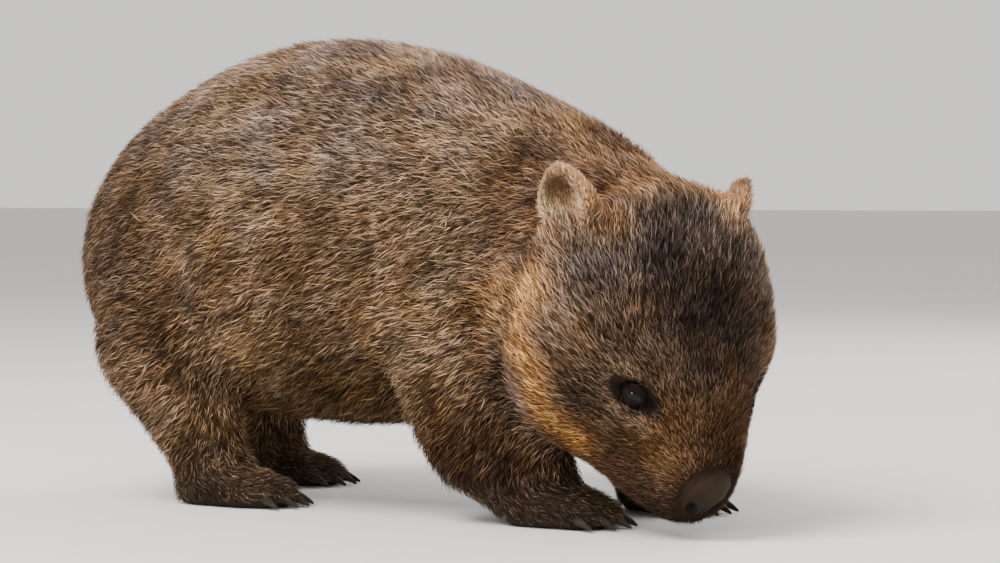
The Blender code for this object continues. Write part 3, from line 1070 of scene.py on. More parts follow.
    def _restore(self) -> None:
        """Draws the smoothed skin back to the solids' outer surface."""
        for _ in range(2):
            gaps = np.array([self.tree.find_nearest(p)[0] for p in self.surface.points])
            gaps -= self.surface.points
            out = np.sum(gaps * self.surface.normals, axis=1, keepdims=True)
            move = self.surface.normals * np.clip(out, -0.004, 0.004)
            self.surface.move(self.surface.points + self.surface.spread(move, 12))

    def _as_tree(self) -> BVHTree:
        """The skin as it now stands, as a search tree."""
        return BVHTree.FromPolygons(self.surface.points.tolist(), self.surface.triangles().tolist())

    def _nearest(self, points: Array) -> Array:
        """Finds the part whose node is nearest to each point.

        Args:
            points: Rows in the body's frame.

        Returns:
            One row for each point, with a 1 for its part.
        """
        made = np.zeros((len(points), len(PARTS)))
        for row, point in zip(made, points):
            row[self.owners[self.tree.find_nearest(point)[2]]] = 1
        return made

    def _coat_depth(self) -> Array:
        """How deep the coat is at each point."""
        points, normals = self.surface.points, self.surface.normals
        depth = self.weights @ np.array([COAT_DEPTHS[part] for part in PARTS])
        local = self.head.to_head(points)
        head = self.weights[:, PARTS.index(Part.HEAD)] + self.weights[:, PARTS.index(Part.NOSE)]
        depth += head * (self.face_depth - depth) * step(local[:, 0], -0.085, 0.010)
        depth += head * (0.0012 - depth) * step(local[:, 0], 0.045, 0.070)
        flat = step(points[:, 2], self.sole * 2, self.sole) * (normals[:, 2] < -0.5)
        return self.surface.spread((depth * (1 - flat))[:, None], 6)[:, 0]

    def _inset(self) -> None:
        """Draws the skin in by the coat's depth, in small steps."""
        for _ in range(self.inset_steps):
            inward = unit(self.surface.spread(self.surface.normals, 2))
            points = self.surface.points - inward * (self.depth / self.inset_steps)[:, None]
            points[:, 2] = np.maximum(points[:, 2], self.lowest)
            self.surface.move(points)

    def _sculpt(self) -> None:
        """Presses in the folds, the mouth and the seats of the eyes, and raises the brows."""
        points, normals = self.surface.points, self.surface.normals
        body, local = one_side(points), self.head.to_head(points)
        face = one_side(local)
        near = (local[:, 0] > -0.17) & (np.linalg.norm(local, axis=1) < 0.22)
        press = self.flank_fold * crease(body, FLANK_FOLD, self.pressed)
        press += self.elbow_fold * crease(body, ELBOW_FOLD, self.pressed)
        press += near * self.neck_fold * crease(face, NECK_FOLD, self.pressed)
        press += near * self.mouth * crease(face, MOUTH, 0.0026)
        press -= near * self.brow_rise * blob(face, (-0.010, 0.046, 0.020), (0.012, 0.014, 0.008))
        points = points - normals * press[:, None]
        front = np.where(local[:, 1:2] < 0, (0.83, -0.35, 0.44), (0.83, 0.35, 0.44))
        front = self.head.to_body(unit(front))
        hollow = near * blob(face, *EAR_HOLLOW) * step(np.sum(normals * front, axis=1), -0.1, 0.4)
        points = points - front * (self.ear_hollow * hollow)[:, None]
        for side in SIDES:
            eye = EyeFrame(side, self.head)
            depth = self.eye_seat * step(eye.within(self.surface.points), 0.98, 0.55)
            points = points - np.array(eye.matrix().col[2].xyz) * depth[:, None]
        pad = np.linalg.norm((local - NOSE_SEAT) / (0.0220, 0.0190, 0.0190), axis=1)
        ahead = self.head.to_body(np.array((1.0, 0.0, 0.0)))
        points = points - ahead * (self.pad_seat * near * step(pad, 1.0, 0.7))[:, None]
        points[:, 2] = np.maximum(points[:, 2], self.lowest)
        self.surface.move(points)

    def _unwrap(self) -> None:
        """Unwraps the skin by its own shape."""
        bpy.ops.object.select_all(action="DESELECT")
        bpy.context.view_layer.objects.active = self.piece
        self.piece.select_set(True)
        self.piece.data.uv_layers.new(name=BAKE_MAP)
        bpy.ops.object.mode_set(mode="EDIT")
        bpy.ops.mesh.select_all(action="SELECT")
        bpy.ops.uv.smart_project(angle_limit=math.radians(66), island_margin=0.002)
        bpy.ops.object.mode_set(mode="OBJECT")


# The coat


class Tuft(Enum):
    """The two kinds of tuft: locks, and shorter hairs between them."""

    LOCK = "locks"
    HAIR = "hairs"


@dataclass
class TuftMesh:
    """One tuft of unit size: x is its side, y its outer side and z how far along it is.

    A lock is a spindle, widest where it bends; a hair is a straight spike, widest at its root.
    """

    kind: Tuft
    bend_at: float
    corners: Array = field(init=False)
    faces: Array = field(init=False)

    def __post_init__(self) -> None:
        """Makes a three-sided spike from the ring on, and draws a lock's base out to its root."""
        body = bmesh.new()
        lock = self.kind is Tuft.LOCK
        outer = 1 - self.bend_at * lock
        bmesh.ops.create_cone(body, cap_ends=True, segments=3, radius1=1, radius2=0, depth=outer)
        bmesh.ops.remove_doubles(body, verts=body.verts, dist=1e-5)
        bmesh.ops.translate(body, verts=body.verts, vec=(0, 0, 1 - outer / 2))
        if lock:
            base = min(body.faces, key=lambda face: face.calc_center_median().z)
            bmesh.ops.poke(body, faces=[base])["verts"][0].co = (0, 0, 0)
        bmesh.ops.recalc_face_normals(body, faces=body.faces)
        self.corners = np.array([vert.co for vert in body.verts])
        body.verts.index_update()
        self.faces = np.array([[vert.index for vert in face.verts] for face in body.faces])
        body.free()

    def rings(self) -> Array:
        """The corners' places on a ring of radius one, with the tip at its centre."""
        size = np.linalg.norm(self.corners[:, :2], axis=1, keepdims=True)
        return np.where(size > 1e-6, self.corners[:, :2] / np.maximum(size, 1e-6), 0)


@dataclass(frozen=True)
class Fur:
    """How the coat grows on one part."""

    length: float
    radius: float
    locks: float  # for each square centimetre
    hairs: float
    lay: Spot  # the way that the hair points
    contrast: float = 1.0


FURS = {
    Part.TRUNK: Fur(0.0148, 0.00038, 18.0, 30.0, (-1.0, 0.0, -0.30)),
    Part.NECK: Fur(0.0150, 0.00038, 18.0, 31.0, (-1.0, 0.0, -0.30)),
    Part.HEAD: Fur(0.0125, 0.00032, 22.0, 74.0, (-1.0, 0.0, 0.0), 1.45),
    Part.NOSE: Fur(0.0045, 0.00025, 0.0, 110.0, (-1.0, 0.0, 0.0)),
    Part.EAR: Fur(0.0062, 0.00026, 0.0, 170.0, (-0.3, 0.0, 1.0), 0.75),
    Part.TAIL: Fur(0.0110, 0.00036, 14.0, 30.0, (-1.0, 0.0, -0.6)),
    Part.THIGH: Fur(0.0150, 0.00038, 18.0, 30.0, (-1.0, 0.0, -0.60)),
    Part.SHANK: Fur(0.0142, 0.00036, 18.0, 32.0, (-1.3, 0.0, -0.70)),
    Part.HINDPAW: Fur(0.0095, 0.00031, 12.0, 50.0, (1.0, 0.0, -0.5)),
    Part.ARM: Fur(0.0148, 0.00037, 18.0, 30.0, (-1.0, 0.0, -0.55)),
    Part.FOREARM: Fur(0.0142, 0.00036, 18.0, 32.0, (-0.8, 0.0, -0.85)),
    Part.FOREPAW: Fur(0.0095, 0.00031, 12.0, 50.0, (1.0, 0.0, -0.5)),
}
COAT_SLOTS = {Part.EAR: "ear", Part.HINDPAW: "dark_coat", Part.FOREPAW: "dark_coat"}


@dataclass
class Coat:
    """The tufts over the skin, in pieces of a limited size."""

    skin: Skin
    head: HeadFrame
    markings: Markings
    clump: float = 0.28  # how far tips are drawn to their group's middle
    sink: float = 0.0012
    bend_at: float = 0.42  # where a tuft is widest
    most: int = 190000  # triangles in one piece
    hair_share: float = 0.72  # a hair's length over a lock's
    spike_width: float = 1.15  # of a hair's root over a lock's bend
    bake_patch: float = 0.003
    floor: float = 0.0007

    def build(self) -> None:
        """Plants every tuft and makes the pieces."""
        self.random = np.random.default_rng(SEED)
        self._fields()
        finish = CoatFinish().material()
        for kind in Tuft:
            tufts = self._comb(self._plant(self.fields[kind.value]), kind)
            self._pieces(tufts, TuftMesh(kind, self.bend_at), finish)

    def _fields(self) -> None:
        """Works out the coat's fields at every point of the skin."""
        surface, weights = self.skin.surface, self.skin.weights
        points, normals = surface.points, surface.normals
        local = self.head.to_head(points)
        side = one_side(local)
        rows = [(f.length, f.radius, f.locks, f.hairs, f.contrast) for f in (FURS[p] for p in PARTS)]
        length, radius, locks, hairs, contrast = (weights @ np.array(rows)).T
        head = weights[:, PARTS.index(Part.HEAD)] + weights[:, PARTS.index(Part.NOSE)]
        face = head * step(local[:, 0], -0.090, 0.030)
        muzzle = head * step(local[:, 0], 0.010, 0.062)
        length *= (1 - 0.32 * face) * (1 - 0.25 * muzzle)
        radius *= 1 - 0.22 * face
        hairs *= 1 + 0.35 * face + 0.4 * muzzle
        locks *= 1 - 0.45 * face - 0.4 * muzzle
        hollow = blob(side, *EAR_HOLLOW) * weights[:, PARTS.index(Part.EAR)]
        hairs *= 1 - 0.75 * hollow
        for eye in (EyeFrame(name, self.head) for name in SIDES):
            length *= 1 - 0.45 * step(eye.within(points), 2.0, 1.0)
            bare = eye.within(points) < 0.93
            locks, hairs = (np.where(bare, 0, value) for value in (locks, hairs))
        ear_base = blob(side, (-0.114, 0.060, 0.056), (0.022, 0.022, 0.022)) * head
        pad = (local - NOSE_SEAT) / (0.0170, 0.0212, 0.0208)
        bare = (np.linalg.norm(pad, axis=1) < 1) | ((points[:, 2] < 0.006) & (normals[:, 2] < -0.3))
        under = 1 - 0.45 * step(normals[:, 2], -0.55, -0.9)
        density = {Tuft.LOCK.value: locks, Tuft.HAIR.value: hairs}
        self.fields = {kind: np.where(bare, 0, value * under) for kind, value in density.items()}
        self.fringe = self._fringe(points, normals, weights)
        self.length = length * (1 + 0.35 * ear_base + 1.10 * self.fringe)
        self.radius, self.contrast = radius, contrast
        lay = unit(self._lay(points, normals, local)) + self.fringe[:, None] * (-0.1, 0.0, -1.2)
        lay = surface.spread(lay, 10)
        self.lay = unit(lay) + 0.22 * wobble(points, 13) + 0.24 * wobble(points, 50)
        self.patch = wobble(points, 32)[:, :2] + 0.5 * wobble(points, 90)[:, :2]

    def _fringe(self, points: Array, normals: Array, weights: Array) -> Array:
        """Where the coat hangs free: along the belly's edge and behind the legs.

        Args:
            points: The skin's points.
            normals: Their normals.
            weights: How much each point belongs to each part.

        Returns:
            One value from 0 to 1 for each point.
        """
        belly = weights[:, PARTS.index(Part.TRUNK)] * step(points[:, 2], 0.105, 0.085)
        belly *= step(normals[:, 2], -0.15, -0.6)
        limbs = sum(weights[:, PARTS.index(p)] for p in (Part.SHANK, Part.FOREARM, Part.THIGH))
        behind = limbs * step(normals[:, 0], -0.35, -0.8) * step(points[:, 2], 0.17, 0.12)
        return np.clip(belly + 0.5 * behind, 0, 1)

    def _lay(self, points: Array, normals: Array, local: Array) -> Array:
        """The way that the hair points at each point, before it is laid flat.

        Args:
            points: The skin's points.
            normals: Their normals.
            local: The points in the head's frame.

        Returns:
            One direction for each point.
        """
        weights = self.skin.weights
        ways = {part: np.tile(FURS[part].lay, (len(points), 1)).astype(float) for part in PARTS}
        drop = 0.24 + 0.22 * step(points[:, 2], 0.340, 0.200) + 0.35 * step(points[:, 0], 0.0, 0.1)
        drop += 1.5 * step(points[:, 0], -0.230, -0.310)
        for part in (Part.TRUNK, Part.NECK):
            ways[part][:, 2] = -drop
        front = step(normals[:, 0], 0.3, 0.9)
        for part in (Part.THIGH, Part.SHANK, Part.FOREARM):
            ways[part][:, 0] *= 1 - 0.4 * front
        ways[Part.HEAD] = self.head.to_body(unit(local - (0.095, 0.0, -0.028)))
        ways[Part.NOSE] = ways[Part.HEAD]
        outward = np.where(local[:, 1:2] < 0, (-0.75, -0.40, 0.60), (-0.75, 0.40, 0.60))
        ways[Part.EAR] = self.head.to_body(outward)
        for name, paw in PAWS.items():
            part = Part.HINDPAW if name.startswith("hind") else Part.FOREPAW
            ahead = paw.forward()
            near = np.linalg.norm(points[:, :2] - np.array(box_centre(paw.node).xy), axis=1) < 0.11
            ways[part][near] = (ahead.x, ahead.y, -0.45)
        return sum(weights[:, i : i + 1] * unit(ways[part]) for i, part in enumerate(PARTS))

    def _plant(self, density: Array) -> dict[str, Array]:
        """Scatters roots over the skin, evenly but not in rows.

        Args:
            density: Tufts for each square centimetre at each point of the skin.

        Returns:
            Arrays with one row for each tuft.
        """
        surface = self.skin.surface
        triangles = surface.triangles()
        a, b, c = (surface.points[triangles[:, i]] for i in range(3))
        area = 0.5e4 * np.linalg.norm(np.cross(b - a, c - a), axis=1)
        ladder = np.cumsum(area * density[triangles].min(axis=1))
        count = int(ladder[-1])
        marks = np.arange(count) + self.random.random(count)
        chosen = np.minimum(np.searchsorted(ladder, marks), len(triangles) - 1)
        u, v = self.random.random((2, count))
        fold = u + v > 1
        u[fold], v[fold] = 1 - u[fold], 1 - v[fold]
        corners, share = triangles[chosen], np.stack([1 - u - v, u, v], axis=1)
        fields = {
            "place": surface.points,
            "normal": surface.normals,
            "lay": self.lay,
            "length": self.length,
            "radius": self.radius,
            "contrast": self.contrast,
            "fringe": self.fringe,
            "patch": self.patch,
            "depth": self.skin.depth,
            "weights": self.skin.weights,
        }
        made = {name: np.einsum("ij,ij...->i...", share, rows[corners]) for name, rows in fields.items()}
        bake = surface.bake_places()[surface.triangle_loops()[chosen]]
        return {**made, "bake": np.einsum("ij,ijk->ik", share, bake)}

    def _comb(self, roots: dict[str, Array], kind: Tuft) -> dict[str, Array]:
        """Gives every tuft its direction, group, length and lift.

        Args:
            roots: What _plant returns.
            kind: Which kind of tuft they are.

        Returns:
            The same arrays and some more.
        """
        place, normal = roots["place"], unit(roots["normal"])
        count = len(place)
        group, centre = self._groups(place)
        own, shared = self.random.random((count, 6)), self.random.random((group.max() + 1, 6))[group]
        lay = roots["lay"] + 0.42 * (shared[:, :3] - 0.5) + 0.22 * self.random.standard_normal((count, 3))
        lay = unit(lay - normal * np.sum(lay * normal, axis=1, keepdims=True))
        hair = kind is Tuft.HAIR
        short = self.hair_share if hair else 1.0
        roots["radius"] = roots["radius"] * (self.spike_width if hair else 1.0)
        short = short + (1 - short) * step(roots["length"], 0.016, 0.011)
        length = roots["length"] * short * (0.70 + 0.45 * own[:, 0]) * (0.86 + 0.28 * shared[:, 3])
        stray = own[:, 1] > 0.93
        raised = 0.62 + 0.62 * own[:, 2] + 0.40 * (shared[:, 4] - 0.5) + 0.25 * stray + 0.9 * roots["fringe"]
        lift = roots["depth"] * np.clip(raised, 0.2, 1.6 + 0.7 * roots["fringe"]) + 0.0004
        length *= 1 + 0.15 * stray
        toward = centre - place
        toward -= normal * np.sum(toward * normal, axis=1, keepdims=True)
        draw = self.clump * (1 + roots["fringe"])[:, None]
        extra = {"lay": lay, "normal": normal, "length": length, "lift": lift, "toward": toward * draw}
        middle = self.markings.colours(place, roots["weights"])
        return {**roots, **extra, "own": own, "shared": shared, "middle": middle}

    def _groups(self, place: Array) -> tuple[Array, Array]:
        """Puts tufts into small groups.

        Args:
            place: The tufts' roots.

        Returns:
            The number of each tuft's group, and the root of its middle tuft.
        """
        picked = place[self.random.choice(len(place), len(place) // 9, replace=False)]
        tree = KDTree(len(picked))
        for number, point in enumerate(picked):
            tree.insert(point, number)
        tree.balance()
        group = np.array([tree.find(point)[1] for point in place])
        return group, picked[group]

    def _pieces(self, tufts: dict, tuft: TuftMesh, finish: bpy.types.Material) -> None:
        """Makes pieces from tufts: those of ears and paws apart, and the rest from the rump on.

        Args:
            tufts: What _comb returns.
            tuft: The unit tuft.
            finish: The coat's material.
        """
        slots = np.array([COAT_SLOTS.get(part, "coat") for part in PARTS])
        slots[PARTS.index(Part.EAR)] = "coat" if tuft.kind is Tuft.LOCK else "ear"
        slots = slots[tufts["weights"].argmax(axis=1)]
        for slot in np.unique(slots):
            order = np.flatnonzero(slots == slot)
            order = order[np.argsort(tufts["place"][order, 0], kind="stable")]
            pieces = math.ceil(len(order) * len(tuft.faces) / self.most)
            for number, group in enumerate(np.array_split(order, pieces), 1):
                picked = {key: values[group] for key, values in tufts.items()}
                piece = self._piece(f"{slot}_{tuft.kind.value}_{number}", tuft, picked)
                piece.data.materials.append(finish)
                settle(piece, str(slot))

    def _piece(self, name: str, tuft: TuftMesh, picked: dict[str, Array]) -> bpy.types.Object:
        """Bends and places one group of tufts and joins them.

        Args:
            name: The piece's name.
            tuft: The unit tuft.
            picked: The tufts' arrays.

        Returns:
            The piece.
        """
        along = tuft.corners[:, 2]
        place, normal, lay, toward = (picked[k][:, None, :] for k in ("place", "normal", "lay", "toward"))
        length, radius, lift = (picked[k][:, None] for k in ("length", "radius", "lift"))
        own = picked["own"]
        side = np.cross(normal, lay)
        forward = length * (along - 0.08 * along**2)
        rise = lift * (1 - (1 - along) ** 2.4) - self.sink * (along < 0.01)
        sway = 0.22 * (own[:, 3:4] - 0.5) * along**2 + 0.64 * (own[:, 4:5] - 0.5) * along * (1 - along)
        thick = radius * (0.65 + 0.7 * own[:, 5:6]) * np.ones_like(along)
        ring_side, ring_out = tuft.rings().T
        points = place + lay * forward[..., None] + normal * (rise + 0.7 * thick * ring_out)[..., None]
        points = points + side * (length * sway + thick * ring_side)[..., None]
        points = points + toward * (along**1.5)[None, :, None]
        points[..., 2] = np.maximum(points[..., 2], self.floor)
        return self._join(name, tuft, points, self._tones(picked, along), picked["bake"])

    def _tones(self, picked: dict[str, Array], along: Array) -> Array:
        """Colours from root to tip; some hairs are dark, some have pale tips.

        Args:
            picked: The tufts' arrays.
            along: How far along the tuft each corner is.

        Returns:
            Colours for each tuft's corners.
        """
        own, middle, contrast = picked["own"], picked["middle"], picked["contrast"][:, None]
        bright = 1 + 0.40 * (own[:, 2:3] - 0.5) + 0.50 * (picked["shared"][:, 5:6] - 0.5)
        bright *= 1 + 0.50 * picked["patch"][:, :1]
        warm = 0.45 * picked["patch"][:, 1:] + 0.35 * (own[:, 4:5] - 0.5)
        middle = middle * bright * (1 + warm * (0.25, 0.0, -0.6))
        kind = own[:, 1:2] + 0.10 * picked["patch"][:, :1]
        pale, dark = step(kind, 0.60, 0.82) * contrast, step(kind, 0.46, 0.26)
        dark *= np.clip(0.72 * contrast, 0, 0.90)
        grey = middle.mean(axis=1, keepdims=True)
        frost = 1.35 * middle + 0.35 * grey
        bend = middle * (0.90 - 0.80 * dark) + 0.75 * pale * frost
        tip = middle * (1.15 - dark) + pale * frost
        t, at = along[:, None], self.bend_at
        low, high = np.clip(t / at, 0, 1), np.clip((t - at) / (1 - at), 0, 1)
        mixed = 0.15 * middle[:, None] * (1 - low) + bend[:, None] * (low - high) + tip[:, None] * high
        return np.clip(mixed, 0, 1)

    def _join(
        self, name: str, tuft: TuftMesh, points: Array, colours: Array, bake: Array
    ) -> bpy.types.Object:
        """Joins many tufts in one mesh, with its colours and bake map.

        Args:
            name: The piece's name.
            tuft: The unit tuft.
            points: Each tuft's corners.
            colours: Each corner's colour.
            bake: Each tuft's place on the bake map.

        Returns:
            The piece.
        """
        count, corners = points.shape[:2]
        faces = (tuft.faces[None] + (np.arange(count) * corners)[:, None, None]).reshape(-1, 3)
        mesh = bpy.data.meshes.new(name)
        mesh.vertices.add(count * corners)
        mesh.vertices.foreach_set("co", points.ravel())
        mesh.loops.add(faces.size)
        mesh.loops.foreach_set("vertex_index", faces.ravel())
        mesh.polygons.add(len(faces))
        mesh.polygons.foreach_set("loop_start", np.arange(0, faces.size, 3))
        mesh.update(calc_edges=True)
        mesh.shade_smooth()
        paint(mesh, colours.reshape(-1, 3))
        patch = (tuft.corners[:, [0, 2]] * (0.5, 1.0) - (0.0, 0.5)) * self.bake_patch
        spots = (bake[:, None, :] + patch[None]).reshape(-1, 2)
        layer = mesh.uv_layers.new(name=BAKE_MAP)
        layer.data.foreach_set("uv", np.clip(spots[faces.ravel()], 0, 1).ravel())
        made = bpy.data.objects.new(name, mesh)
        bpy.context.scene.collection.objects.link(made)
        return made


# Eyes, nose, claws and whiskers

LID_FOLDS = ((0.0007, 0.38, 0.09), (0.0005, 0.68, 0.08))  # how deep, where and how wide


@dataclass
class Eye:
    """One eye with its lids."""

    eye: EyeFrame
    skin: Skin
    dome: float = 0.0006  # how far the cornea stands out
    domed_from: float = 0.84  # of the radius
    opening: tuple[float, float, float] = (0.0074, 0.0037, 0.0033)  # half width, up and down
    lid_stand: float = 0.0012  # of the lids off the ball
    hooded: float = 0.7  # how much further the upper lid stands out
    dark: Colour = (0.007, 0.004, 0.0035)
    margin: Colour = (0.032, 0.020, 0.018)

    def build(self) -> None:
        """Makes the eyeball and the lids."""
        self._ball()
        self._lids()

    def _ball(self) -> None:
        """The eyeball, with its cornea a little domed."""
        side, radius, place = self.eye.side, self.eye.radius, self.eye.matrix()
        body = bmesh.new()
        bmesh.ops.create_uvsphere(body, u_segments=48, v_segments=32, radius=radius)
        for vert in body.verts:
            vert.co.z = self._domed(vert.co.z)
        bmesh.ops.transform(body, matrix=place, verts=body.verts)
        bmesh.ops.recalc_face_normals(body, faces=body.faces)
        ball = mesh_object(f"eye_{side}_ball", body)
        finish = EyeFinish(tuple(place.translation), tuple(place.col[2].xyz), radius)
        ball.data.materials.append(finish.material(f"eye_{side}_wet"))
        settle(ball, "eye", f"eye_{side}")

    def _domed(self, height: float) -> float:
        """A height on the ball, with the cornea's dome added."""
        rise = min(1.0, max(0.0, height / self.eye.radius - self.domed_from) / (1 - self.domed_from))
        return height + self.dome * rise * rise * (3 - 2 * rise)

    def _edge(self, turn: float) -> Vector:
        """A point of the lids' opening, an almond with two corners.

        Args:
            turn: The turn about the eye's axis, in radians.

        Returns:
            The point in the eye's plane.
        """
        across, up = math.cos(turn), math.sin(turn)
        wide, tall = self.opening[0], self.opening[1 if up > 0 else 2]
        reach = (abs(across / wide) ** 1.6 + abs(up / tall) ** 1.6) ** (-1 / 1.6)
        return Vector((across * reach, up * reach))

    def _outside(self, turn: float) -> Vector:
        """The lids' outer edge at one turn."""
        half = self.eye.lid_half
        return Vector((self.eye.lid_centre + math.cos(turn) * half[0], math.sin(turn) * half[1]))

    def _skin_height(self, flat: Vector, place: Matrix) -> float:
        """How far out the skin lies over a point of the eye's plane.

        Args:
            flat: The point.
            place: The eye's frame.

        Returns:
            The height over the ball's centre.
        """
        start = place @ Vector((flat.x, flat.y, 0.03))
        hit = self.skin.lid_tree.ray_cast(start, -place.col[2].xyz)
        return 0.03 - hit[3] if hit[0] else 0.004

    def _height(self, flat: Vector, t: float, u: float, place: Matrix) -> float:
        """How far out the lids lie.

        Args:
            flat: The point in the eye's plane.
            t: How far from the opening it is, 1 at the outer edge.
            u: The same, counted from outside the lids' thick margin.
            place: The eye's frame.

        Returns:
            The height over the ball's centre.
        """
        ball = self._domed(math.sqrt(max(self.eye.radius**2 - flat.length_squared, 0.0)))
        ball -= max(0.0, flat.length - self.eye.radius)
        hood = self.lid_stand * (1 + self.hooded * max(0.0, flat.y) / self.opening[1])
        lid = ball + hood * math.sqrt(min(1.0, t / 0.10)) - 0.0004
        blend = min(1.0, u / 0.85)
        blend = blend * blend * (3 - 2 * blend)
        skin = self._skin_height(flat, place) - 0.0003
        return max(lid, lid + (skin - lid) * blend) if u < 0.5 else lid + (max(skin, lid) - lid) * blend

    def _lids(self) -> None:
        """Bare dark skin between the opening and the fur, thick at its edge and folded."""
        place, rings = self.eye.matrix(), 17
        body = disc(1.0 + 1 / rings, rings + 2, 72)
        bmesh.ops.delete(body, geom=[v for v in body.verts if v.co.length < 0.01], context="VERTS")
        tones = []
        for vert in body.verts:
            t = vert.co.length - 1 / rings
            turn = math.atan2(vert.co.y, vert.co.x)
            u = max(0.0, (t - 0.10) / 0.90)
            flat = self._edge(turn).lerp(self._outside(turn), u)
            folds = sum(deep * math.exp(-(((u - at) / wide) ** 2)) for deep, at, wide in LID_FOLDS)
            height = self._height(flat, t, u, place) - folds * (1.0 if math.sin(turn) > -0.2 else 0.5)
            height -= 0.0012 * max(0.0, u - 0.9) / 0.1
            vert.co = place @ Vector((flat.x, flat.y, height))
            tones.append(Vector(self.margin).lerp(Vector(self.dark), min(1.0, abs(t - 0.07) / 0.06)))
        bmesh.ops.recalc_face_normals(body, faces=body.faces)
        body.normal_update()
        if sum((face.normal for face in body.faces), Vector()).dot(place.col[2].xyz) < 0:
            bmesh.ops.reverse_faces(body, faces=body.faces)
        lids = mesh_object(f"eye_{self.eye.side}_lids", body)
        paint(lids.data, np.array(tones))
        shell = lids.modifiers.new("thickness", "SOLIDIFY")
        shell.thickness = 0.0008
        shell.offset = -1
        lids.data.materials.append(LeatherFinish(f"lid_{self.eye.side}", 0.50, 0.06, 0.0).material())
        settle(lids, "nose")


@dataclass
class Nose:
    """The broad bare nose pad with its nostrils."""

    head: HeadFrame
    centre: Spot = (0.0775, -0.0030, -0.0270)
    half: tuple[float, float] = (0.0206, 0.0215)
    colour: Colour = (0.022, 0.0130, 0.0068)
    # painted shade on the pad's lower, turned-under part
    under: Colour = (0.007, 0.004, 0.0023)
    edge: Colour = (0.011, 0.0055, 0.003)
    # painted shade deep in the nostrils
    nostril_shade: Colour = (0.003, 0.002, 0.002)

    def build(self) -> None:
        """Makes the pad as a domed disc, presses in the nostrils and turns its rim under."""
        body = disc(1.2, 40, 88)
        tones = [self._tone(vert.co.x, vert.co.y) for vert in body.verts]
        for vert in body.verts:
            vert.co = self._surface(vert.co.x, vert.co.y)
        bmesh.ops.holes_fill(body, edges=[edge for edge in body.edges if edge.is_boundary], sides=0)
        bmesh.ops.transform(body, matrix=self.head.matrix(), verts=body.verts)
        bmesh.ops.recalc_face_normals(body, faces=body.faces)
        pad = mesh_object("nose", body)
        paint(pad.data, np.array(tones))
        pad.data.materials.append(LeatherFinish("nose_leather", 0.60, 0.10, 0.0, 620.0).material())
        settle(pad, "nose", "nose_pad")

    def _hole(self, u: float, v: float) -> float:
        """How deep in a nostril a point is.

        Args:
            u: How far across, from -1 to 1.
            v: How far up, likewise.

        Returns:
            A value from 0 to 1.
        """
        across = (abs(u) - 0.50) / 0.20
        rise = (v + 0.40 - 0.6 * (abs(u) - 0.50)) / 0.24
        return math.exp(-((across * across + rise * rise) ** 1.3))

    def _surface(self, u: float, v: float) -> Vector:
        """A point of the pad.

        Args:
            u: How far across, from -1 to 1, and a little more on the turned rim.
            v: How far up, likewise.

        Returns:
            The point in the head's frame.
        """
        out = math.hypot(u, v)
        inside = min(out, 1.0) / max(out, 1e-9)
        y = self.centre[1] + u * inside * self.half[0] * (1 + 0.10 * v)
        z = self.centre[2] + v * inside * self.half[1] * (1 - 0.06 * abs(u))
        x = self.centre[0] - 0.0095 * abs(u * inside) ** 2.2 - 0.0105 * max(0.0, v * inside + 0.15) ** 2
        x -= 0.0050 * max(0.0, -v * inside - 0.2) ** 2
        x -= 0.018 * max(0.0, out - 0.97) / 0.23
        wing = math.exp(-(((abs(u) - 0.74) / 0.12) ** 2 + ((v + 0.30) / 0.34) ** 2))
        x += 0.0013 * wing - 0.0046 * self._hole(u, v)
        groove = math.exp(-((u / 0.04) ** 2)) * max(0.0, min(1.0, (0.0 - v) / 0.5))
        return Vector((x - 0.0011 * groove, y, z))

    def _tone(self, u: float, v: float) -> Vector:
        """The colour of a point of the pad: browner at its edge, with painted shade on its lower part and in
        the nostrils.

        Args:
            u: How far across, from -1 to 1.
            v: How far up, likewise.

        Returns:
            The colour.
        """
        rim = min(1.0, max(0.0, (math.hypot(u, v) - 0.86) / 0.14))
        # painted shade: darker towards the pad's bottom
        made = Vector(self.colour).lerp(Vector(self.under), min(1.0, max(0.0, 0.35 - v)))
        made = made.lerp(Vector(self.edge), rim)
        # painted shade in the nostrils
        return made.lerp(Vector(self.nostril_shade), min(1.0, 1.4 * self._hole(u, v)))


@dataclass
class Claws:
    """Curved digging claws, each from its own node."""

    def build(self) -> None:
        """Rounds every claw and dresses it."""
        finish = HornFinish().material()
        for name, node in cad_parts.items():
            if not name.startswith("claw_"):
                continue
            body = bmesh.new()
            body.from_mesh(node.data)
            bmesh.ops.remove_doubles(body, verts=body.verts, dist=1e-6)
            nail = mesh_object(f"nail{name[4:]}", body)
            rounded = nail.modifiers.new("round", "SUBSURF")
            rounded.levels = 2
            rounded.render_levels = 2
            nail.data.materials.append(finish)
            settle(nail, "claw", name)


